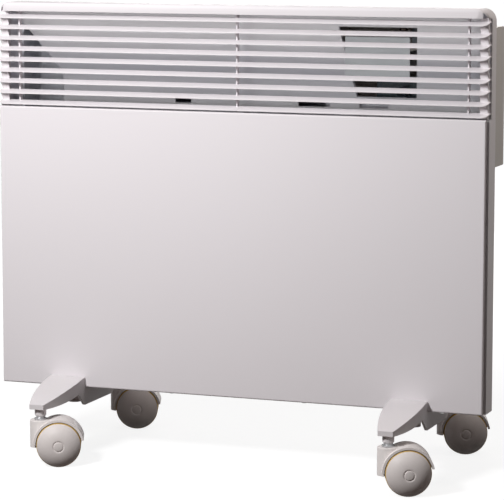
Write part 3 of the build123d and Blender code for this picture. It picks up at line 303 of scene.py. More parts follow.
def wheel_finish(slot):
    """V of the wheel's UV map is the distance from the axle, 0.5 at the tread."""
    shader, place = new_finish(slot, SATIN)
    uv = place.node("ShaderNodeUVMap", {"uv_map": "turn"}, out="UV")
    rays = noise(uv, 1.0, 2.0, (RAYS_PER_TURN, 2.0, 1.0))
    grain = noise(place, 2400.0, 1.0)
    tread = uv.part("Y").math("GREATER_THAN", TREAD_START)
    # Paler and deeper rays in the colour: painted sheen along the tool's rays.
    face = paint(FACE_SHEEN_PALE, FACE_SHEEN_DEEP, rays)
    link(shader, "Base Color", paint(face, TREAD_OCHRE, tread))
    link(shader, "Roughness", 0.40 + 0.14 * rays + 0.05 * grain + 0.1 * tread)
    link(shader, "Normal", bump(rays + 0.3 * grain, 0.02 * MM, 0.5))


wheel_finish("wheel_plastic")
print("wheel finish ready")

# %% [markdown]
# Bare metals. Zinc-plated parts have a cloudy, slightly bluish surface. Extruded fins and rolled
# sheet have grain in one direction. The shader could stretch its highlight by itself, but fine
# lines in the gloss and the bump look the same and hold up close, so their noise is stretched
# along X. The stem and collar of the castors are bright plated and turned, with fine rings.

# %% Metals
ALONG_X = (0.2, 1.0, 1.0)
EXTRUDED = (0.02, 1.0, 1.0)
DRAWN_ROD = (1.0, 0.3, 0.3)
TURNED = (1.0, 1.0, 6.0)


def metal(slot, colour, deeper, roughness, stretch, grain_scale):
    """Bare metal with its grain along one direction."""
    shader, place = new_finish(slot, {"Metallic": 1.0})
    grain = noise(place, grain_scale, 3.0, stretch)
    cloud = noise(place, 14.0, 3.0)
    link(shader, "Base Color", paint(colour, deeper, cloud))
    link(shader, "Roughness", roughness + 0.16 * grain + 0.08 * cloud)
    link(shader, "Normal", bump(grain, 0.04 * MM, 0.5))


metal("zinc_steel", (0.480, 0.500, 0.510), (0.420, 0.440, 0.452), 0.36, ALONG_X, 500.0)
metal("fin_aluminium", (0.640, 0.640, 0.640), (0.560, 0.560, 0.565), 0.38, EXTRUDED, 900.0)
metal("rod_steel", (0.230, 0.205, 0.185), (0.160, 0.140, 0.125), 0.45, DRAWN_ROD, 700.0)
metal("screw_steel", (0.600, 0.605, 0.600), (0.500, 0.500, 0.490), 0.30, EVEN, 1200.0)
metal("bright_steel", (0.480, 0.480, 0.490), (0.410, 0.410, 0.418), 0.24, TURNED, 700.0)
print("finishes so far:", len(finishes))

# %% [markdown]
# The heat shield is aluminised sheet, with fine streaks from the rolling mill. The streaks are noise
# stretched along X. Seen through the slats it is pale grey at the top, darker and bluer from its
# middle down, and pale again close to the panel; this is painted shade, a ramp over the height of
# what shows, from the panel's upper edge to the shield's, that stands for the light through the slats.

# %% Heat shield
# The pale and the blue colour are the lit and the shaded ends of the sheet's painted shade.
SHIELD_LIT_PALE = (0.790, 0.790, 0.800)
SHIELD_SHADED_BLUE = (0.475, 0.485, 0.520)
SHIELD_PAINTED_SHADE = (
    (0.06, 0.80), (0.16, 0.25), (0.31, 0.28), (0.36, 0.0), (0.50, 0.08), (0.62, 0.50), (0.85, 1.0),
)
STREAKING = 0.20
CLOUDING = 0.10


def shield_sheet(slot):
    """Streaked sheet, with painted shade that follows the height."""
    shader, place = new_finish(slot, {"Metallic": 0.6})
    panel_top, shield_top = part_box("front_panel")[1].z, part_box("heat_shield")[1].z
    values = {"Value": place.part("Z"), "From Min": panel_top, "From Max": shield_top}
    rise = place.node("ShaderNodeMapRange", None, values)
    streak = noise(place, 700.0, 4.0, EXTRUDED)
    cloud = noise(place, 16.0, 3.0)
    # The ramp paints shade by height, standing for the light that comes through the slats.
    painted_shade_and_streaks = rise.node("ShaderNodeValToRGB", {"stops": SHIELD_PAINTED_SHADE}, {0: rise})
    painted_shade_and_streaks = painted_shade_and_streaks + STREAKING * (streak - 0.5) + CLOUDING * (cloud - 0.5)
    link(shader, "Base Color", paint(SHIELD_SHADED_BLUE, SHIELD_LIT_PALE, painted_shade_and_streaks))
    link(shader, "Roughness", 0.42 + 0.14 * streak)
    link(shader, "Normal", bump(streak, 0.05 * MM, 0.5))


shield_sheet("bright_sheet")
print("shield ready")

# %% [markdown]
# Little of what is inside the heater shows, but each of those parts has its own finish too: fired
# clay with specks, a dark amber lens that lets some light through, and a circuit board with its
# copper tracks under lacquer. The thin lines between the cells of a Voronoi pattern stand for the
# tracks.

# %% Ceramic, lens and circuit board
BOARD_DARK = (0.130, 0.190, 0.225)
BOARD_TRACK = (0.170, 0.235, 0.265)
TRACK_HALF = 0.06


def ceramic(slot):
    """Fired clay with a speckled, dull surface."""
    shader, place = new_finish(slot)
    speck = noise(place, 1500.0, 3.0)
    link(shader, "Base Color", paint((0.780, 0.740, 0.650), (0.700, 0.650, 0.560), speck))
    link(shader, "Roughness", 0.55 + 0.2 * speck)
    link(shader, "Normal", bump(speck, 0.05 * MM))


def lens(slot):
    """Amber plastic with a smooth surface that lets half of the light through."""
    shader, place = new_finish(slot, {"Transmission Weight": 0.5})
    ripple = noise(place, 700.0, 1.0)
    link(shader, "Base Color", paint((0.230, 0.110, 0.050), (0.190, 0.085, 0.040), ripple))
    link(shader, "Roughness", 0.10 + 0.08 * ripple)


def board(slot):
    """Dark solder resist with copper tracks under it, as raised lines."""
    shader, place = new_finish(slot)
    cells = {"Vector": place, "Scale": 180.0}
    from_edge = place.node("ShaderNodeTexVoronoi", {"feature": "DISTANCE_TO_EDGE"}, cells)
    track = from_edge.math("LESS_THAN", TRACK_HALF)
    link(shader, "Base Color", paint(BOARD_DARK, BOARD_TRACK, track))
    link(shader, "Roughness", 0.30 + 0.1 * track)
    link(shader, "Normal", bump(track, 0.04 * MM))


ceramic("white_ceramic")
lens("amber_lens")
board("green_board")
print("finishes:", len(finishes))

# %% [markdown]
# The model's record names a finish for each of its nodes. All of them get it now, so that a node
# which nothing below stands for, such as an axle or the heating element, is dressed as well.

# %% Finishes onto the model
for node, solid in frame["nodes"].items():
    solid.data.materials.clear()
    solid.data.materials.append(finishes[node_slot[node]])
print("nodes dressed:", len(frame["nodes"]))

# %% [markdown]
# ## Pieces
# A finer piece stands for one of the model's solids. It rides on the same body, so it moves with
# the same joints, and it names its finish and the solid that it stands for. Every piece below is
# handed over by the same small function, so that none of this is forgotten.

# %% Helpers for pieces
def add_piece(name, mesh, body, slot, replaced=()):
    """A finished mesh as a piece that rides on a body and has one of the finishes."""
    piece = bpy.data.objects.new(name, mesh)
    scene.collection.objects.link(piece)
    mesh.materials.clear()
    mesh.materials.append(finishes[slot])
    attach(piece, body)
    if replaced:
        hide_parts(*replaced)
    return piece


def plain_mesh(piece):
    """A piece's mesh with its modifiers applied."""
    depsgraph = bpy.context.evaluated_depsgraph_get()
    return bpy.data.meshes.new_from_object(piece.evaluated_get(depsgraph))


def shade(mesh, sharp_deg):
    """Smooth shading, but not over edges that are sharper than this."""
    mesh.shade_smooth()
    mesh.set_sharp_from_angle(angle=radians(sharp_deg))


print("piece helpers ready")

# %% [markdown]
# ## Rounded edges
# No real edge is perfectly sharp. The engineering model's edges are, and a highlight along an
# edge is what tells the eye how thick a sheet or a moulding is. A copy of each visible solid is
# cleaned of its triangles, gets a small bevel along every sharp edge, and then stands for the
# solid. Doing it from the solid keeps every hole and step exactly where it belongs. The bevel
# also keeps the normals of the flat faces beside it, so that a large sheet shades evenly.

# %% Rounded copies
WELD = 0.01 * MM
FLAT_DEG = 1.0
SHARP_DEG = 28.0


def cleaned_copy(node, name):
    """A CAD node's mesh as a new mesh, with its doubles merged and its flat triangles joined."""
    mesh = bpy.data.meshes.new(name)
    bm = bmesh.new()
    bm.from_mesh(frame["nodes"][node].data)
    bmesh.ops.remove_doubles(bm, verts=bm.verts, dist=WELD)
    bmesh.ops.dissolve_limit(bm, angle_limit=radians(FLAT_DEG), verts=bm.verts, edges=bm.edges)
    bm.to_mesh(mesh)
    bm.free()
    return mesh


def softened(node, width, segments=2):
    """A copy of a CAD node with rounded edges, standing for it."""
    name = node + "_finished"
    mesh = cleaned_copy(node, name)
    shade(mesh, SHARP_DEG)
    helper = bpy.data.objects.new("bevel_helper", mesh)
    scene.collection.objects.link(helper)
    edge = helper.modifiers.new("edge", "BEVEL")
    edge.width = width
    edge.segments = segments
    edge.limit_method = "ANGLE"
    edge.angle_limit = radians(SHARP_DEG)
    edge.use_clamp_overlap = True
    edge.harden_normals = True
    done = plain_mesh(helper)
    bpy.data.objects.remove(helper)
    done.name = name
    return add_piece(name, done, node_body[node], node_slot[node], [node])


print("edges get round from", SHARP_DEG, "degrees")

# %% [markdown]
# The casing's three sheets come first. The enamel above asks each face whether it is bare, and a
# simple test answers it: a face of a sheet that looks towards the middle of the sheet's own box
# is on the inside.

# %% Sheet that is bare inside
SHEET_EDGES_MM = {"front_panel": 0.35, "rear_casing": 0.30, "rear_pan": 0.30}


def mark_inside(piece):
    """Marks the faces that look inwards as bare metal, and counts them."""
    mesh = piece.data
    corners = [Vector(corner) for corner in piece.bound_box]
    middle = sum(corners, Vector()) / len(corners)
    bare = mesh.attributes.new("bare", "FLOAT", "FACE")
    for face, row in zip(mesh.polygons, bare.data):
        row.value = 1.0 if (middle - face.center).dot(face.normal) > 0 else 0.0
    return sum(row.value for row in bare.data)


for node, width in SHEET_EDGES_MM.items():
    made = softened(node, width * MM)
    print(node, "faces:", len(made.data.polygons), "bare:", int(mark_inside(made)))

# %% [markdown]
# The other visible pieces are rounded in the same way. What differs is how much: a tenth of a
# millimetre on thin cut sheet, half a millimetre or more on a moulding.

# %% Other rounded pieces
EDGES_MM = {
    "grille_frame": 0.5, "control_box": 0.5, "control_fascia": 0.4,
    "foot_left": 0.7, "foot_right": 0.7,
    "heat_shield": 0.12, "control_bracket": 0.12,
    "foot_clamp_left": 0.3, "foot_clamp_right": 0.3,
    "thermostat_knob": 0.3, "mode_rocker": 0.4, "cord_gland": 0.4, "pilot_lens": 0.2,
    "air_inlet_grid": 0.15,
}
for node, width in EDGES_MM.items():
    made = softened(node, width * MM)
    print(node, "faces:", len(made.data.polygons))

# %% [markdown]
# A castor's hood is a soft-looking moulding, so its edges are a full millimetre round and get one
# step more. The steel stem and the socket in the foot have small, crisp edges.

# %% Castor hoods, stems and sockets
PLACES = ("front_left", "rear_left", "front_right", "rear_right")
for place in PLACES:
    hood = softened("castor_hood_" + place, 1.0 * MM, 3)
    softened("castor_stem_" + place, 0.2 * MM)
    softened("castor_socket_" + place, 0.3 * MM)
    print("hood", place, "faces:", len(hood.data.polygons))

# %% [markdown]
# ## Castor wheels
# Each wheel is a turned shape: a tread, a domed face and a ring groove round a small raised hub.
# Such a shape is drawn as half a section and spun round its axle. Every point of the mesh knows
# its turn and its distance from the axle, and both go into the UV map that the finish reads.

# %% Turned shapes
TURN_STEPS = 96
TURNED_SHARP_DEG = 50.0
UV_SPAN = 50.0 * MM


def ring(bm, radius, along):
    """A ring of vertices round the axle, or the single one on it."""
    if radius < WELD:
        return [bm.verts.new((0, 0, along))]
    turns = [2 * pi * step / TURN_STEPS for step in range(TURN_STEPS)]
    return [bm.verts.new((radius * cos(turn), radius * sin(turn), along)) for turn in turns]


def spun(name, section):
    """A closed mesh from a half section of (radius, distance along the axle) points."""
    bm = bmesh.new()
    uv = bm.loops.layers.uv.new("turn")
    rings = [ring(bm, *point) for point in section]
    for low, high, (low_r, _), (high_r, _) in zip(rings, rings[1:], section, section[1:]):
        for step in range(TURN_STEPS):
            after = (step + 1) % TURN_STEPS
            corners = [
                (low[step % len(low)], step, low_r), (low[after % len(low)], step + 1, low_r),
                (high[after % len(high)], step + 1, high_r), (high[step % len(high)], step, high_r),
            ]
            kept = [corner for i, corner in enumerate(corners) if corner[0] is not corners[i - 1][0]]
            face = bm.faces.new([corner[0] for corner in kept])
            for loop, (_, turn, radius) in zip(face.loops, kept):
                loop[uv].uv = (turn / TURN_STEPS, radius / UV_SPAN)
    bmesh.ops.recalc_face_normals(bm, faces=bm.faces)
    mesh = bpy.data.meshes.new(name)
    bm.to_mesh(mesh)
    bm.free()
    shade(mesh, TURNED_SHARP_DEG)
    return mesh


print("turned shapes ready")

# %% [markdown]
# The section is drawn in millimetres. The tread's inner edge is a quarter circle. The dome is the
# one arc that runs through three points: the rim, a point half way up and the shoulder of the
# groove. The groove and the hub have small steps in place of sharp corners, which catch the light.
# Each step is a pair: how far it is out from the edge of the groove or the hub, and how far below
# the wheel's face.

# %% The wheel's section
WHEEL_R = 25.0
WHEEL_IN = 7.0
WHEEL_RIM = 17.5
WHEEL_FACE = 27.5
DOME_MID = (18.0, 23.6)
DOME_STEPS = 20
TREAD_ROUND = 0.8
TREAD_STEPS = 5
HUB_R = 5.3
GROOVE_R = 6.2
SHOULDER = (0.3, 0.4)
GROOVE_STEPS = ((0.0, 0.65), (-0.2, 0.8))
HUB_STEPS = ((-0.05, 0.8), (-0.2, 0.6), (-0.5, 0.15), (-0.9, 0.0))


def arc(centre, radius, first, last, steps):
    """Points on an arc in the section's plane, from one angle in radians to another."""
    turns = [first + (last - first) * step / steps for step in range(steps + 1)]
    return [(centre[0] + radius * cos(turn), centre[1] + radius * sin(turn)) for turn in turns]


def arc_through(start, middle, end, steps):
    """Points on the arc through three points of the section."""
    a, b, c = [complex(*point) for point in (start, middle, end)]
    ratio = (c - a) / (b - a)
    centre = a - (a - b) * (ratio - abs(ratio) ** 2) / 2j / ratio.imag
    return arc((centre.real, centre.imag), abs(a - centre), phase(a - centre), phase(c - centre), steps)


def steps_from(radius, steps):
    """Points of the section from (out, down) pairs."""
    return [(radius + out, WHEEL_FACE - down) for out, down in steps]


def wheel_section():
    """From the middle of the inner face, round the tread and over the dome to the hub, in metres."""
    tread_in = WHEEL_R - TREAD_ROUND
    shoulder = steps_from(GROOVE_R, [SHOULDER])[0]
    points = [(0, WHEEL_IN), (tread_in, WHEEL_IN)]
    points += arc((tread_in, WHEEL_IN + TREAD_ROUND), TREAD_ROUND, -pi / 2, 0.0, TREAD_STEPS)[1:]
    points += arc_through((WHEEL_R, WHEEL_RIM), DOME_MID, shoulder, DOME_STEPS)
    points += steps_from(GROOVE_R, GROOVE_STEPS) + steps_from(HUB_R, HUB_STEPS)
    points.append((0, WHEEL_FACE))
    return [(radius * MM, along * MM) for radius, along in points]


print("points in the section:", len(wheel_section()))

# %% [markdown]
# A wheel's joint gives the place and the direction of its axle, so the spun mesh is laid straight
# onto it. The two wheels of a castor stand back to back, and each one's dome faces outward.

# %% Wheels onto their axles
def laid_on_axle(mesh, centre, outward):
    """Turns a mesh spun round Z so that it faces outward from the castor's middle."""
    facing = Vector((0, 0, 1)).rotation_difference(outward).to_matrix().to_4x4()
    mesh.transform(Matrix.Translation(centre) @ facing)


for place in PLACES:
    for side in ("outer", "inner"):
        node = f"wheel_{side}_{place}"
        joint = joints[f"wheel_roll_{side}_{place}"]
        centre, outward = Vector(joint["pos_m"]), Vector(joint["axis"])
        low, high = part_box(node)
        if ((low + high) / 2 - centre).dot(outward) < 0:
            outward = -outward
        mesh = spun(node + "_finished", wheel_section())
        laid_on_axle(mesh, centre, outward)
        add_piece(node + "_finished", mesh, node_body[node], "wheel_plastic", [node])
print("wheels made, faces each:", len(mesh.polygons))

# %% [markdown]
# ## The outlet's louvres
# The grille is a rule and not a drawing: equal slats at an equal pitch, leaning back, each with
# both ends rounded back in plan. Geometry Nodes suit it. One slat is a grid whose columns run
# along the heater and whose rows wrap round the slat's section, so three sums place every point.
# The slats are then repeated up a line, and the ribs and end posts are added in the same tree.

# %% Tree helpers
def new_tree(name, lengths, **others):
    """A Geometry Nodes tree with named inputs. Returns the tree and a wire for each input."""
    tree = bpy.data.node_groups.new(name, "GeometryNodeTree")
    tree.interface.new_socket("Geometry", in_out="OUTPUT", socket_type="NodeSocketGeometry")
    kinds = {**dict.fromkeys(lengths, "Float"), **others}
    for label, kind in kinds.items():
        tree.interface.new_socket(label, in_out="INPUT", socket_type="NodeSocket" + kind)
    entry = Wire(tree).node("NodeGroupInput").socket.node
    return tree, {label: Wire(tree, entry.outputs[label]) for label in kinds}


def close_tree(geometry, material):
    """The end of every tree: real geometry with its material."""
    real = geometry.node("GeometryNodeRealizeInstances", None, {0: geometry})
    coated = real.node("GeometryNodeSetMaterial", None, {"Geometry": real, "Material": material})
    coated.node("NodeGroupOutput", None, {0: coated})


def grown(name, tree, values):
    """The plain mesh that a tree makes with these input values."""
    helper = bpy.data.objects.new(name, bpy.data.meshes.new(name))
    modifier = helper.modifiers.new("grow", "NODES")
    modifier.node_group = tree
    for item in tree.interface.items_tree:
        if item.in_out == "INPUT":
            modifier[item.identifier] = values[item.name]
    scene.collection.objects.link(helper)
    mesh = plain_mesh(helper)
    helper.modifiers.clear()
    bpy.data.objects.remove(helper)
    mesh.name = name
    return mesh


print("tree helpers ready")

# %% [markdown]
# What the grille, the screws and the dial share comes next: a vector from three sums, pieces that
# are joined or merged, copies along a line, and a flat grid. A grid's points can be moved to
# wherever three sums put them, which makes any curved strip from one simple start.

# %% Shapes in a tree
def vector(x, y, z):
    """A vector wire from three wires or numbers."""
    first = next(part for part in (x, y, z) if isinstance(part, Wire))
    return first.node("ShaderNodeCombineXYZ", None, {0: x, 1: y, 2: z})


def together(*pieces):
    """Several pieces as one."""
    return pieces[0].node("GeometryNodeJoinGeometry", None, {0: list(pieces)})


def welded(piece):
    """A piece whose points that touch are merged."""
    return piece.node("GeometryNodeMergeByDistance", None, {"Geometry": piece, "Distance": WELD})


def repeated(piece, count, start, step):
    """Copies of a piece along a line."""
    values = {"Count": count, "Start Location": start, "Offset": step}
    line = piece.node("GeometryNodeMeshLine", None, values)
    return line.node("GeometryNodeInstanceOnPoints", None, {"Points": line, "Instance": piece})


def placed_grid(start, columns, rows, x, y, z):
    """A grid with its points moved to three sums."""
    grid = start.node("GeometryNodeMeshGrid", None, {0: 1.0, 1: 1.0, 2: columns, 3: rows})
    values = {"Geometry": grid, "Position": vector(x, y, z)}
    return grid.node("GeometryNodeSetPosition", None, values)


def grid_shares(start):
    """How far a grid point is along and across, each from -0.5 to 0.5."""
    place = start.node("GeometryNodeInputPosition")
    return place.part("X"), place.part("Y")


print("tree shapes ready")

# %% [markdown]
# Along its middle share a slat is straight, and the rest of each end turns back on a quarter
# circle. Its section has a face that leans back and a web behind it that is nearly level. A cosine
# and a sine alone would wrap the grid's rows round an ellipse. Raised to a small power, they wrap
# them round a flat strip with blunt edges. The thickness closes only at the very tips.

# %% One slat
SLAT_COLUMNS = 161
SLAT_ROWS = 25
STRAIGHT_SHARE = 0.7
END_SHARPNESS = 80.0
SQUARENESS = 0.22


def signed_power(wire, power):
    """The power of the size, with the sign kept."""
    return wire.math("SIGN") * (wire.math("ABSOLUTE") ** power)


def slat(p):
    """One slat along X, with its front edge at y = 0."""
    along, around = grid_shares(p["Width"])
    share = along * 2.0
    size = share.math("ABSOLUTE")
    bend = (size - STRAIGHT_SHARE).math("MAXIMUM", 0.0) * (pi / 2 / (1 - STRAIGHT_SHARE))
    straight = size.math("MINIMUM", STRAIGHT_SHARE) / STRAIGHT_SHARE
    reach = straight * (p["Width"] / 2 - p["End Radius"]) + p["End Radius"] * bend.math("SINE")
    front = p["End Radius"] * (1 - bend.math("COSINE"))
    turn = (around + 0.5) * (2 * pi)
    flat = signed_power(turn.math("COSINE"), SQUARENESS)
    thick = signed_power(turn.math("SINE"), SQUARENESS)
    y = front + (p["Depth"] - front) * (0.5 - 0.5 * flat)
    face = (y / p["Face Depth"]).math("MINIMUM", 1.0) * (p["Rise"] - p["Thickness"])
    web = (y - p["Face Depth"]).math("MAXIMUM", 0.0) * p["Web Fall"]
    closing = 1 - size ** END_SHARPNESS
    z = face - web - p["Thickness"] * 0.5 * thick * closing
    return welded(placed_grid(share, SLAT_COLUMNS, SLAT_ROWS, share.math("SIGN") * reach, y, z))


print("slat ready, points:", SLAT_COLUMNS * SLAT_ROWS)

# %% [markdown]
# The uprights aren't plain bars. Between two slats the front of each swings forward in a cove, up
# to the slat above, which it carries. An end post is a plate: flat in front, then a bend of a
# quarter circle, then a wing that runs back. It is made as a grid and gets its thickness by
# extrusion, and the grid itself, turned round, closes the back.

# %% End posts
POST_COLUMNS = 19
UPRIGHT_ROWS = 121
COVE_SHARE = 0.62


def cove(p, z):
    """How far an upright bulges forward at this height: most right under the slat above."""
    top = p["First"] + p["Rise"] - p["Thickness"]
    level = ((z - top) / p["Pitch"]).math("FRACT")
    rise = (level / COVE_SHARE) ** 2.0
    return p["Cove"] * rise.math("MINIMUM", (1 - level) / (1 - COVE_SHARE))


def end_post(p, side):
    """Upright at one end. A third of its columns each make the flat, the bend and the wing."""
    along, up = grid_shares(p["Width"])
    third = (along + 0.5) * 3.0
    bend = (third - 1.0).math("MAXIMUM", 0.0).math("MINIMUM", 1.0) * (pi / 2)
    wing = (third - 2.0).math("MAXIMUM", 0.0) * p["Post Wing"]
    flat = third.math("MINIMUM", 1.0) * (p["Post Width"] - p["Post Radius"])
    radius = p["Post Radius"] - p["Post Thickness"]
    inner = p["Width"] / 2 - p["Post Width"]
    z = (up + 0.5) * p["Height"]
    x = (inner + flat + radius * bend.math("SINE")) * side
    front = p["Post Front"] + p["Post Thickness"] - cove(p, z)
    y = front + radius * (1 - bend.math("COSINE")) + wing
    sheet = placed_grid(third, POST_COLUMNS, UPRIGHT_ROWS, x, y, z)
    if side > 0:
        sheet = sheet.node("GeometryNodeFlipFaces", None, {0: sheet})
    values = {"Mesh": sheet, "Offset Scale": p["Post Thickness"], "Individual": False}
    pushed = sheet.node("GeometryNodeExtrudeMesh", None, values)
    back = sheet.node("GeometryNodeFlipFaces", None, {0: sheet})
    return welded(together(pushed, back))


print("end posts ready, rows:", UPRIGHT_ROWS)

# %% [markdown]
# The ribs stand behind the slats and stiffen them. A rib is a thin block with as many rows as an
# end post, because the same sum for the cove shapes it. Its back stays straight, so only the
# points in its front half are moved.

# %% Ribs
RIB_COVE = 0.3
RIB_COUNT = 3


def ribs(p):
    """Thin uprights behind the slats: one in the middle, and one near each end."""
    size = vector(p["Rib Thickness"], p["Rib Depth"], p["Height"])
    counts = {"Vertices X": 2, "Vertices Y": 2, "Vertices Z": UPRIGHT_ROWS}
    rib = size.node("GeometryNodeMeshCube", None, {"Size": size, **counts})
    place = size.node("GeometryNodeInputPosition")
    in_front = place.part("Y").math("LESS_THAN", 0.0)
    forward = cove(p, place.part("Z") + p["Height"] / 2) * in_front * -RIB_COVE
    values = {"Geometry": rib, "Offset": vector(0.0, forward, 0.0)}
    rib = rib.node("GeometryNodeSetPosition", None, values)
    first = vector(p["Rib Spacing"] * -1.0, p["Rib Front"] + p["Rib Depth"] / 2, p["Height"] / 2)
    return repeated(rib, RIB_COUNT, first, vector(p["Rib Spacing"], 0.0, 0.0))


print("ribs:", RIB_COUNT)

# %% [markdown]
# The pieces are now joined in one tree. It holds no size of its own: its width and height are
# read from the model's box of the grille, and the other sizes are given here, in millimetres.

# %% Grow the grille at its real size
GRILLE_SHARP_DEG = 20.0
GRILLE_MM = {
    "Depth": 14.0, "Face Depth": 8.8, "Rise": 5.2, "Thickness": 1.3, "End Radius": 7.2,
    "First": 2.2, "Pitch": 12.25, "Cove": 4.6,
    "Post Radius": 2.4, "Post Thickness": 1.4, "Post Width": 10.7, "Post Front": 6.8, "Post Wing": 4.0,
    "Rib Thickness": 1.6, "Rib Depth": 6.0, "Rib Front": 8.2, "Rib Spacing": 265.8,
}
lengths = ("Width", "Height", "Web Fall", *GRILLE_MM)
louvre_tree, p = new_tree("outlet_louvres_tree", lengths, Count="Int", Finish="Material")
first_slat, next_slat = vector(0.0, 0.0, p["First"]), vector(0.0, 0.0, p["Pitch"])
slats = repeated(slat(p), p["Count"], first_slat, next_slat)
close_tree(together(slats, end_post(p, -1), end_post(p, 1), ribs(p)), p["Finish"])

low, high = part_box("outlet_louvres")
grille_sizes = {name: length * MM for name, length in GRILLE_MM.items()}
grille_sizes.update({"Width": high.x - low.x, "Height": high.z - low.z, "Web Fall": 0.08})
grille_sizes.update({"Count": 9, "Finish": finishes["white_enamel"]})
grille = grown("outlet_louvres_finished", louvre_tree, grille_sizes)
grille.transform(Matrix.Translation((0, low.y, low.z)))
shade(grille, GRILLE_SHARP_DEG)
body = node_body["outlet_louvres"]
add_piece("outlet_louvres_finished", grille, body, "white_enamel", ["outlet_louvres"])
print("louvre tree nodes:", len(louvre_tree.nodes), "grille faces:", len(grille.polygons))

# %% [markdown]
# ## Screws
# Every fixing is a pan head screw with a cross recess. One tree makes them all: a flattened
# sphere loses its lower half and the cross by a boolean, the shank is joined to it, and the
# result is copied to each vertex of a small mesh of places. The blocks that cut are wider and
# taller than the head, because a cut along a shared face can fail.

# %% Screw tree
HEAD_SEGMENTS = 28
CUTTER_WIDTH = 3.0
CUTTER_TOP = 0.4
SCREW_LENGTHS = (
    "Head Radius", "Head Height", "Shank Radius", "Shank Length",
    "Recess Length", "Recess Width", "Recess Depth",
)


def shaped(piece, move=(0.0, 0.0, 0.0), scale=EVEN):
    """A piece moved and scaled."""
    values = {"Geometry": piece, "Translation": move, "Scale": scale}
    return piece.node("GeometryNodeTransform", None, values)


def block(length, width, deep, height):
    """A block whose middle is this high."""
    size = vector(length, width, deep)
    cube = size.node("GeometryNodeMeshCube", None, {"Size": size})
    return shaped(cube, vector(0.0, 0.0, height))


def screw(p):
    """Dome with a cross recess on a plain shank. The seat is at zero and the dome points up."""
    radius, height, deep = p["Head Radius"], p["Head Height"], p["Recess Depth"]
    ball = {"Segments": HEAD_SEGMENTS, "Rings": HEAD_SEGMENTS // 2, "Radius": 1.0}
    dome = radius.node("GeometryNodeMeshUVSphere", None, ball)
    dome = shaped(dome, scale=vector(radius, radius, height))
    wide = radius * CUTTER_WIDTH
    below = block(wide, wide, height * 2.0, height * -1.0)
    arm = (p["Recess Length"], p["Recess Width"])
    arm_height = height * (1 + CUTTER_TOP / 2) - deep / 2
    arms = [block(*sides, deep + CUTTER_TOP * height, arm_height) for sides in (arm, arm[::-1])]
    cuts = {0: dome, 1: [below, *arms]}
    head = dome.node("GeometryNodeMeshBoolean", {"operation": "DIFFERENCE"}, cuts)
    sizes = {"Vertices": HEAD_SEGMENTS, "Radius": p["Shank Radius"], "Depth": p["Shank Length"]}
    shank = dome.node("GeometryNodeMeshCylinder", None, sizes)
    shank = shaped(shank, vector(0.0, 0.0, p["Shank Length"] * -0.5))
    return welded(together(head, shank))


screw_tree, p = new_tree("screw_tree", SCREW_LENGTHS, Places="Object", Turn="Vector", Finish="Material")
places = p["Places"].node("GeometryNodeObjectInfo", None, {"Object": p["Places"]}, out="Geometry")
copies = {"Points": places, "Instance": screw(p), "Rotation": p["Turn"]}
close_tree(places.node("GeometryNodeInstanceOnPoints", None, copies), p["Finish"])
print("screw tree nodes:", len(screw_tree.nodes))

# %% [markdown]
# The places are read from the plain screws of the model, so they stay right if a screw moves.
# A node of the model holds many screws. Its separate solids are found by walking along edges, and
# the box of each one tells which way it is driven, where its head sits and how long its shank is.

# %% Reading the model's screws
DRIVEN_UP = (pi, 0.0, 0.0)
DRIVEN_FORWARD = (-pi / 2, 0.0, 0.0)
SAME_SIZE = 0.1 * MM


def loose_boxes(node):
    """The box of each separate solid in a node, always in the same order."""
    bm = bmesh.new()
    bm.from_mesh(frame["nodes"][node].data)
    bmesh.ops.remove_doubles(bm, verts=bm.verts, dist=WELD)
    left, boxes = set(bm.verts), []
    for first in bm.verts:
        if first not in left:
            continue
        left.remove(first)
        front, group = [first], []
        while front:
            vertex = front.pop()
            group.append(vertex.co.copy())
            near = {edge.other_vert(vertex) for edge in vertex.link_edges} & left
            left -= near
            front.extend(near)
        boxes.append([Vector([pick(co[i] for co in group) for i in range(3)]) for pick in (min, max)])
    bm.free()
    return boxes


def seats_of(boxes, turn, head_r, head_h):
    """Where screws with this head sit that are driven this way, and how long their shank is."""
    seats, length = [], 0.0
    for low, high in boxes:
        size, seat = high - low, (low + high) / 2
        if turn == DRIVEN_UP:
            tall, across = size.z, size.y
            seat.z = low.z + head_h
        else:
            tall, across = size.y, size.z
            seat.y = high.y - head_h
        if abs(size.x - 2 * head_r) <= SAME_SIZE and abs(across - size.x) <= SAME_SIZE:
            seats.append(tuple(seat))
            length = tall - head_h
    return seats, length


print("screw readers ready")

# %% [markdown]
# Small screws hold the casing's sheets and the clamp strips, and larger ones go up into the
# casing from the feet. The recess takes its length and width from the head's radius and its
# depth from the head's height, as it does on real screws.

# %% Screws at their places
SMALL = (3.8 * MM, 2.2 * MM, 2.0 * MM)
LARGE = (4.8 * MM, 4.0 * MM, 2.5 * MM)
SCREW_SHARP_DEG = 35.0
RECESS_LENGTH = 1.2
RECESS_WIDTH = 0.22
RECESS_DEPTH = 0.5
SCREWS = {
    "casing_screws": [(DRIVEN_UP, *SMALL), (DRIVEN_FORWARD, *SMALL)],
    "foot_screws": [(DRIVEN_UP, *LARGE), (DRIVEN_FORWARD, *SMALL)],
}


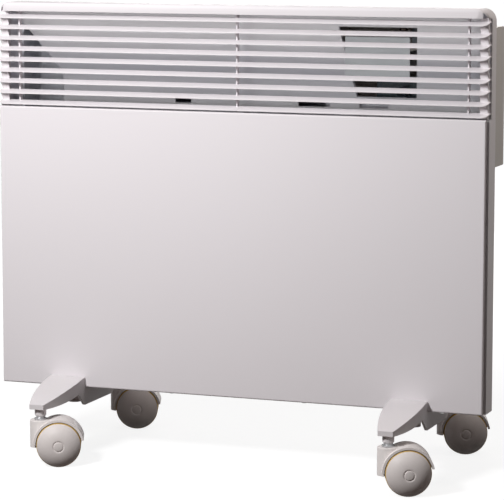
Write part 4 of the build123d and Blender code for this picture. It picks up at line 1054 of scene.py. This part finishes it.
def screws_of(node, kinds):
    """All screws of a node as one mesh. A kind is (turn, head radius, head height, shank radius)."""
    whole = bmesh.new()
    boxes = loose_boxes(node)
    for turn, head_r, head_h, shank_r in kinds:
        seats, length = seats_of(boxes, turn, head_r, head_h)
        cloud = bpy.data.meshes.new("screw_places")
        cloud.from_pydata(seats, [], [])
        holder = bpy.data.objects.new("screw_places", cloud)
        scene.collection.objects.link(holder)
        recess = (RECESS_LENGTH * head_r, RECESS_WIDTH * head_r, RECESS_DEPTH * head_h)
        values = {"Places": holder, "Turn": turn, "Finish": finishes["screw_steel"]}
        values.update(zip(SCREW_LENGTHS, (head_r, head_h, shank_r, length, *recess)))
        whole.from_mesh(grown(node + "_part", screw_tree, values))
        bpy.data.objects.remove(holder)
    done = bpy.data.meshes.new(node + "_finished")
    whole.to_mesh(done)
    whole.free()
    return done


for node, kinds in SCREWS.items():
    mesh = screws_of(node, kinds)
    shade(mesh, SCREW_SHARP_DEG)
    add_piece(node + "_finished", mesh, node_body[node], "screw_steel", [node])
    print(node, "faces:", len(mesh.polygons))

# %% [markdown]
# ## The dial
# The knob turns over a ring of short printed strokes, one for each step of warmth. Printing is a
# tenth of a millimetre thick at most, so each stroke is a very thin block, and a tree lays equal
# strokes on an arc round the knob's axle. The first stroke is where the knob's pointer stands
# when the heater is off, and the others follow the way in which the joint turns.

# %% Dial strokes
DIAL_COUNT = 11
DIAL_SPREAD_DEG = 270.0
POINTER_DEG = -90.0
DIAL_MM = {"Radius": 15.6, "Stroke Length": 1.8, "Stroke Width": 0.5, "Print Thickness": 0.1}


def stroke_ring(p):
    """Strokes on the arc that the knob's pointer sweeps."""
    line = p["Radius"].node("GeometryNodeMeshLine", None, {"Count": p["Count"]})
    turn = p["Start"] + line.node("GeometryNodeInputIndex") * p["Step"]
    place = vector(p["Radius"] * turn.math("COSINE"), p["Radius"] * turn.math("SINE"), 0.0)
    points = line.node("GeometryNodeSetPosition", None, {"Geometry": line, "Position": place})
    size = vector(p["Stroke Length"], p["Stroke Width"], p["Print Thickness"])
    stroke = size.node("GeometryNodeMeshCube", None, {"Size": size})
    copies = {"Points": points, "Instance": stroke, "Rotation": vector(0.0, 0.0, turn)}
    return points.node("GeometryNodeInstanceOnPoints", None, copies)


lengths = ("Start", "Step", *DIAL_MM)
dial_tree, p = new_tree("dial_tree", lengths, Count="Int", Finish="Material")
close_tree(stroke_ring(p), p["Finish"])

knob_joint = joints["thermostat_turn"]
clockwise = knob_joint["axis"][2]
dial_sizes = {name: length * MM for name, length in DIAL_MM.items()}
dial_sizes["Start"] = radians(POINTER_DEG)
dial_sizes["Step"] = radians(DIAL_SPREAD_DEG / (DIAL_COUNT - 1)) * clockwise
dial_sizes.update({"Count": DIAL_COUNT, "Finish": finishes["black_plastic"]})
dial = grown("dial_strokes", dial_tree, dial_sizes)
knob_at = Vector(knob_joint["pos_m"])
dial.transform(Matrix.Translation((knob_at.x, knob_at.y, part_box("control_fascia")[1].z)))
add_piece("dial_strokes", dial, node_body["control_fascia"], "black_plastic")
print("dial faces:", len(dial.polygons))

# %% [markdown]
# ## The room
# The picture has a plain white ground. The floor is one very wide square at the height on which
# the castors stand, so that its far edge is lost in the white behind the heater. It belongs to
# the stage and not to the heater.

# %% Floor
FLOOR = 0.0
FLOOR_HALF = 30.0

corners = [(x * FLOOR_HALF, y * FLOOR_HALF, FLOOR) for x, y in ((-1, -1), (1, -1), (1, 1), (-1, 1))]
floor_mesh = bpy.data.meshes.new("floor")
floor_mesh.from_pydata(corners, [], [(0, 1, 2, 3)])
floor = bpy.data.objects.new("floor", floor_mesh)
scene.collection.objects.link(floor)
print("floor ready, metres across:", 2 * FLOOR_HALF)

# %% [markdown]
# A plain white floor would throw too much light upwards: in the picture, the undersides and the
# castors' lower halves fall into brown. So the floor has two looks, and the kind of ray chooses.
# The camera and reflections see a pale floor with a soft shadow, and a glow that is a little
# weaker near the heater. The light that bounces off the floor meets a dark, warm one.

# %% The floor's look
GLOW_NEAR = 0.86
SHADOW_REACH = (0.45, 1.1)
WHITE = (1.0, 1.0, 1.0, 1.0)
FLOOR_PALE = (0.22, 0.22, 0.22, 1.0)
FLOOR_BOUNCE = (0.055, 0.034, 0.026, 1.0)


def seen_directly(start):
    """1 for rays from the camera, off a gloss or through a lens, and 0 for scattered light."""
    names = ("Is Camera Ray", "Is Glossy Ray", "Is Transmission Ray")
    camera_ray, glossy_ray, lens_ray = [start.node("ShaderNodeLightPath", out=name) for name in names]
    return camera_ray.math("MAXIMUM", glossy_ray).math("MAXIMUM", lens_ray)


floor_look = bpy.data.materials.new("floor")
floor_look.use_nodes = True
tree = floor_look.node_tree
tree.nodes.remove(tree.nodes["Principled BSDF"])
start = Wire(tree)
place = start.node("ShaderNodeTexCoord", out="Object")
away = place.node("ShaderNodeVectorMath", {"operation": "LENGTH"}, {0: place}, out="Value")
near, far = SHADOW_REACH
reach = {"Value": away, "From Min": near, "From Max": far, "To Min": GLOW_NEAR}
glow_level = away.node("ShaderNodeMapRange", None, reach)
glow = start.node("ShaderNodeEmission", None, {"Color": WHITE, "Strength": glow_level})
pale = start.node("ShaderNodeBsdfDiffuse", None, {"Color": FLOOR_PALE})
dark = start.node("ShaderNodeBsdfDiffuse", None, {"Color": FLOOR_BOUNCE})
shown = start.node("ShaderNodeAddShader", None, {0: glow, 1: pale})
mixed = start.node("ShaderNodeMixShader", None, {0: seen_directly(start), 1: dark, 2: shown})
tree.links.new(mixed.socket, tree.nodes["Material Output"].inputs["Surface"])
floor_mesh.materials.append(floor_look)
print("floor's nodes:", len(tree.nodes))

# %% [markdown]
# The room around the heater works in the same way. It is white where it is seen, and for the
# light it is a sky, grey above and nearly black along the horizon. Its soft light from above is
# what reaches the faces that no lamp does.

# %% World
SKY_LOW = (0.010, 0.006, 0.004)
SKY_HIGH = (0.222, 0.214, 0.212)
SKY_BAND = (0.15, 0.95)

world = bpy.data.worlds.new("studio")
scene.world = world
world.use_nodes = True
tree = world.node_tree
start = Wire(tree)
height = start.node("ShaderNodeTexCoord", out="Generated").part("Z")
near, far = SKY_BAND
upward = height.node("ShaderNodeMapRange", None, {"Value": height, "From Min": near, "From Max": far})
sky = start.node("ShaderNodeBackground", None, {"Color": paint(SKY_LOW, SKY_HIGH, upward)})
backdrop = start.node("ShaderNodeBackground", None, {"Color": WHITE})
both = start.node("ShaderNodeMixShader", None, {0: seen_directly(start), 1: sky, 2: backdrop})
tree.links.new(both.socket, tree.nodes["World Output"].inputs["Surface"])
tree.nodes.remove(tree.nodes["Background"])
print("world's nodes:", len(tree.nodes))

# %% [markdown]
# The light in the picture falls off quickly from the upper left, which only a lamp close to the
# heater does. A second lamp, warm and weak, hangs close by on the right and lights the side wall.
# A third one keeps the back from going black.

# %% Lamps
def lamp(name, place, aim, size, watts, colour):
    """A rectangular lamp at a place, facing the point that it is aimed at."""
    data = bpy.data.lights.new(name, "AREA")
    data.shape = "RECTANGLE"
    data.size, data.size_y = size
    data.energy = watts
    data.color = colour
    made = bpy.data.objects.new(name, data)
    made.location = place
    made.rotation_euler = (Vector(aim) - Vector(place)).to_track_quat("-Z", "Y").to_euler()
    scene.collection.objects.link(made)


lamp("key", (-0.350, -1.056, 0.971), (0.0, 0.0, 0.35), (0.22, 0.22), 16.2, (1.0, 0.995, 1.0))
lamp("side", (0.62, 0.16, 0.86), (0.29, 0.0, 0.42), (0.3, 0.3), 1.12, (1.0, 0.90, 0.82))
lamp("back", (-0.5, 1.9, 0.75), (0.0, 0.05, 0.30), (1.0, 0.8), 14.0, (1.0, 0.99, 0.98))
print("lamps:", [light.name for light in bpy.data.lights])
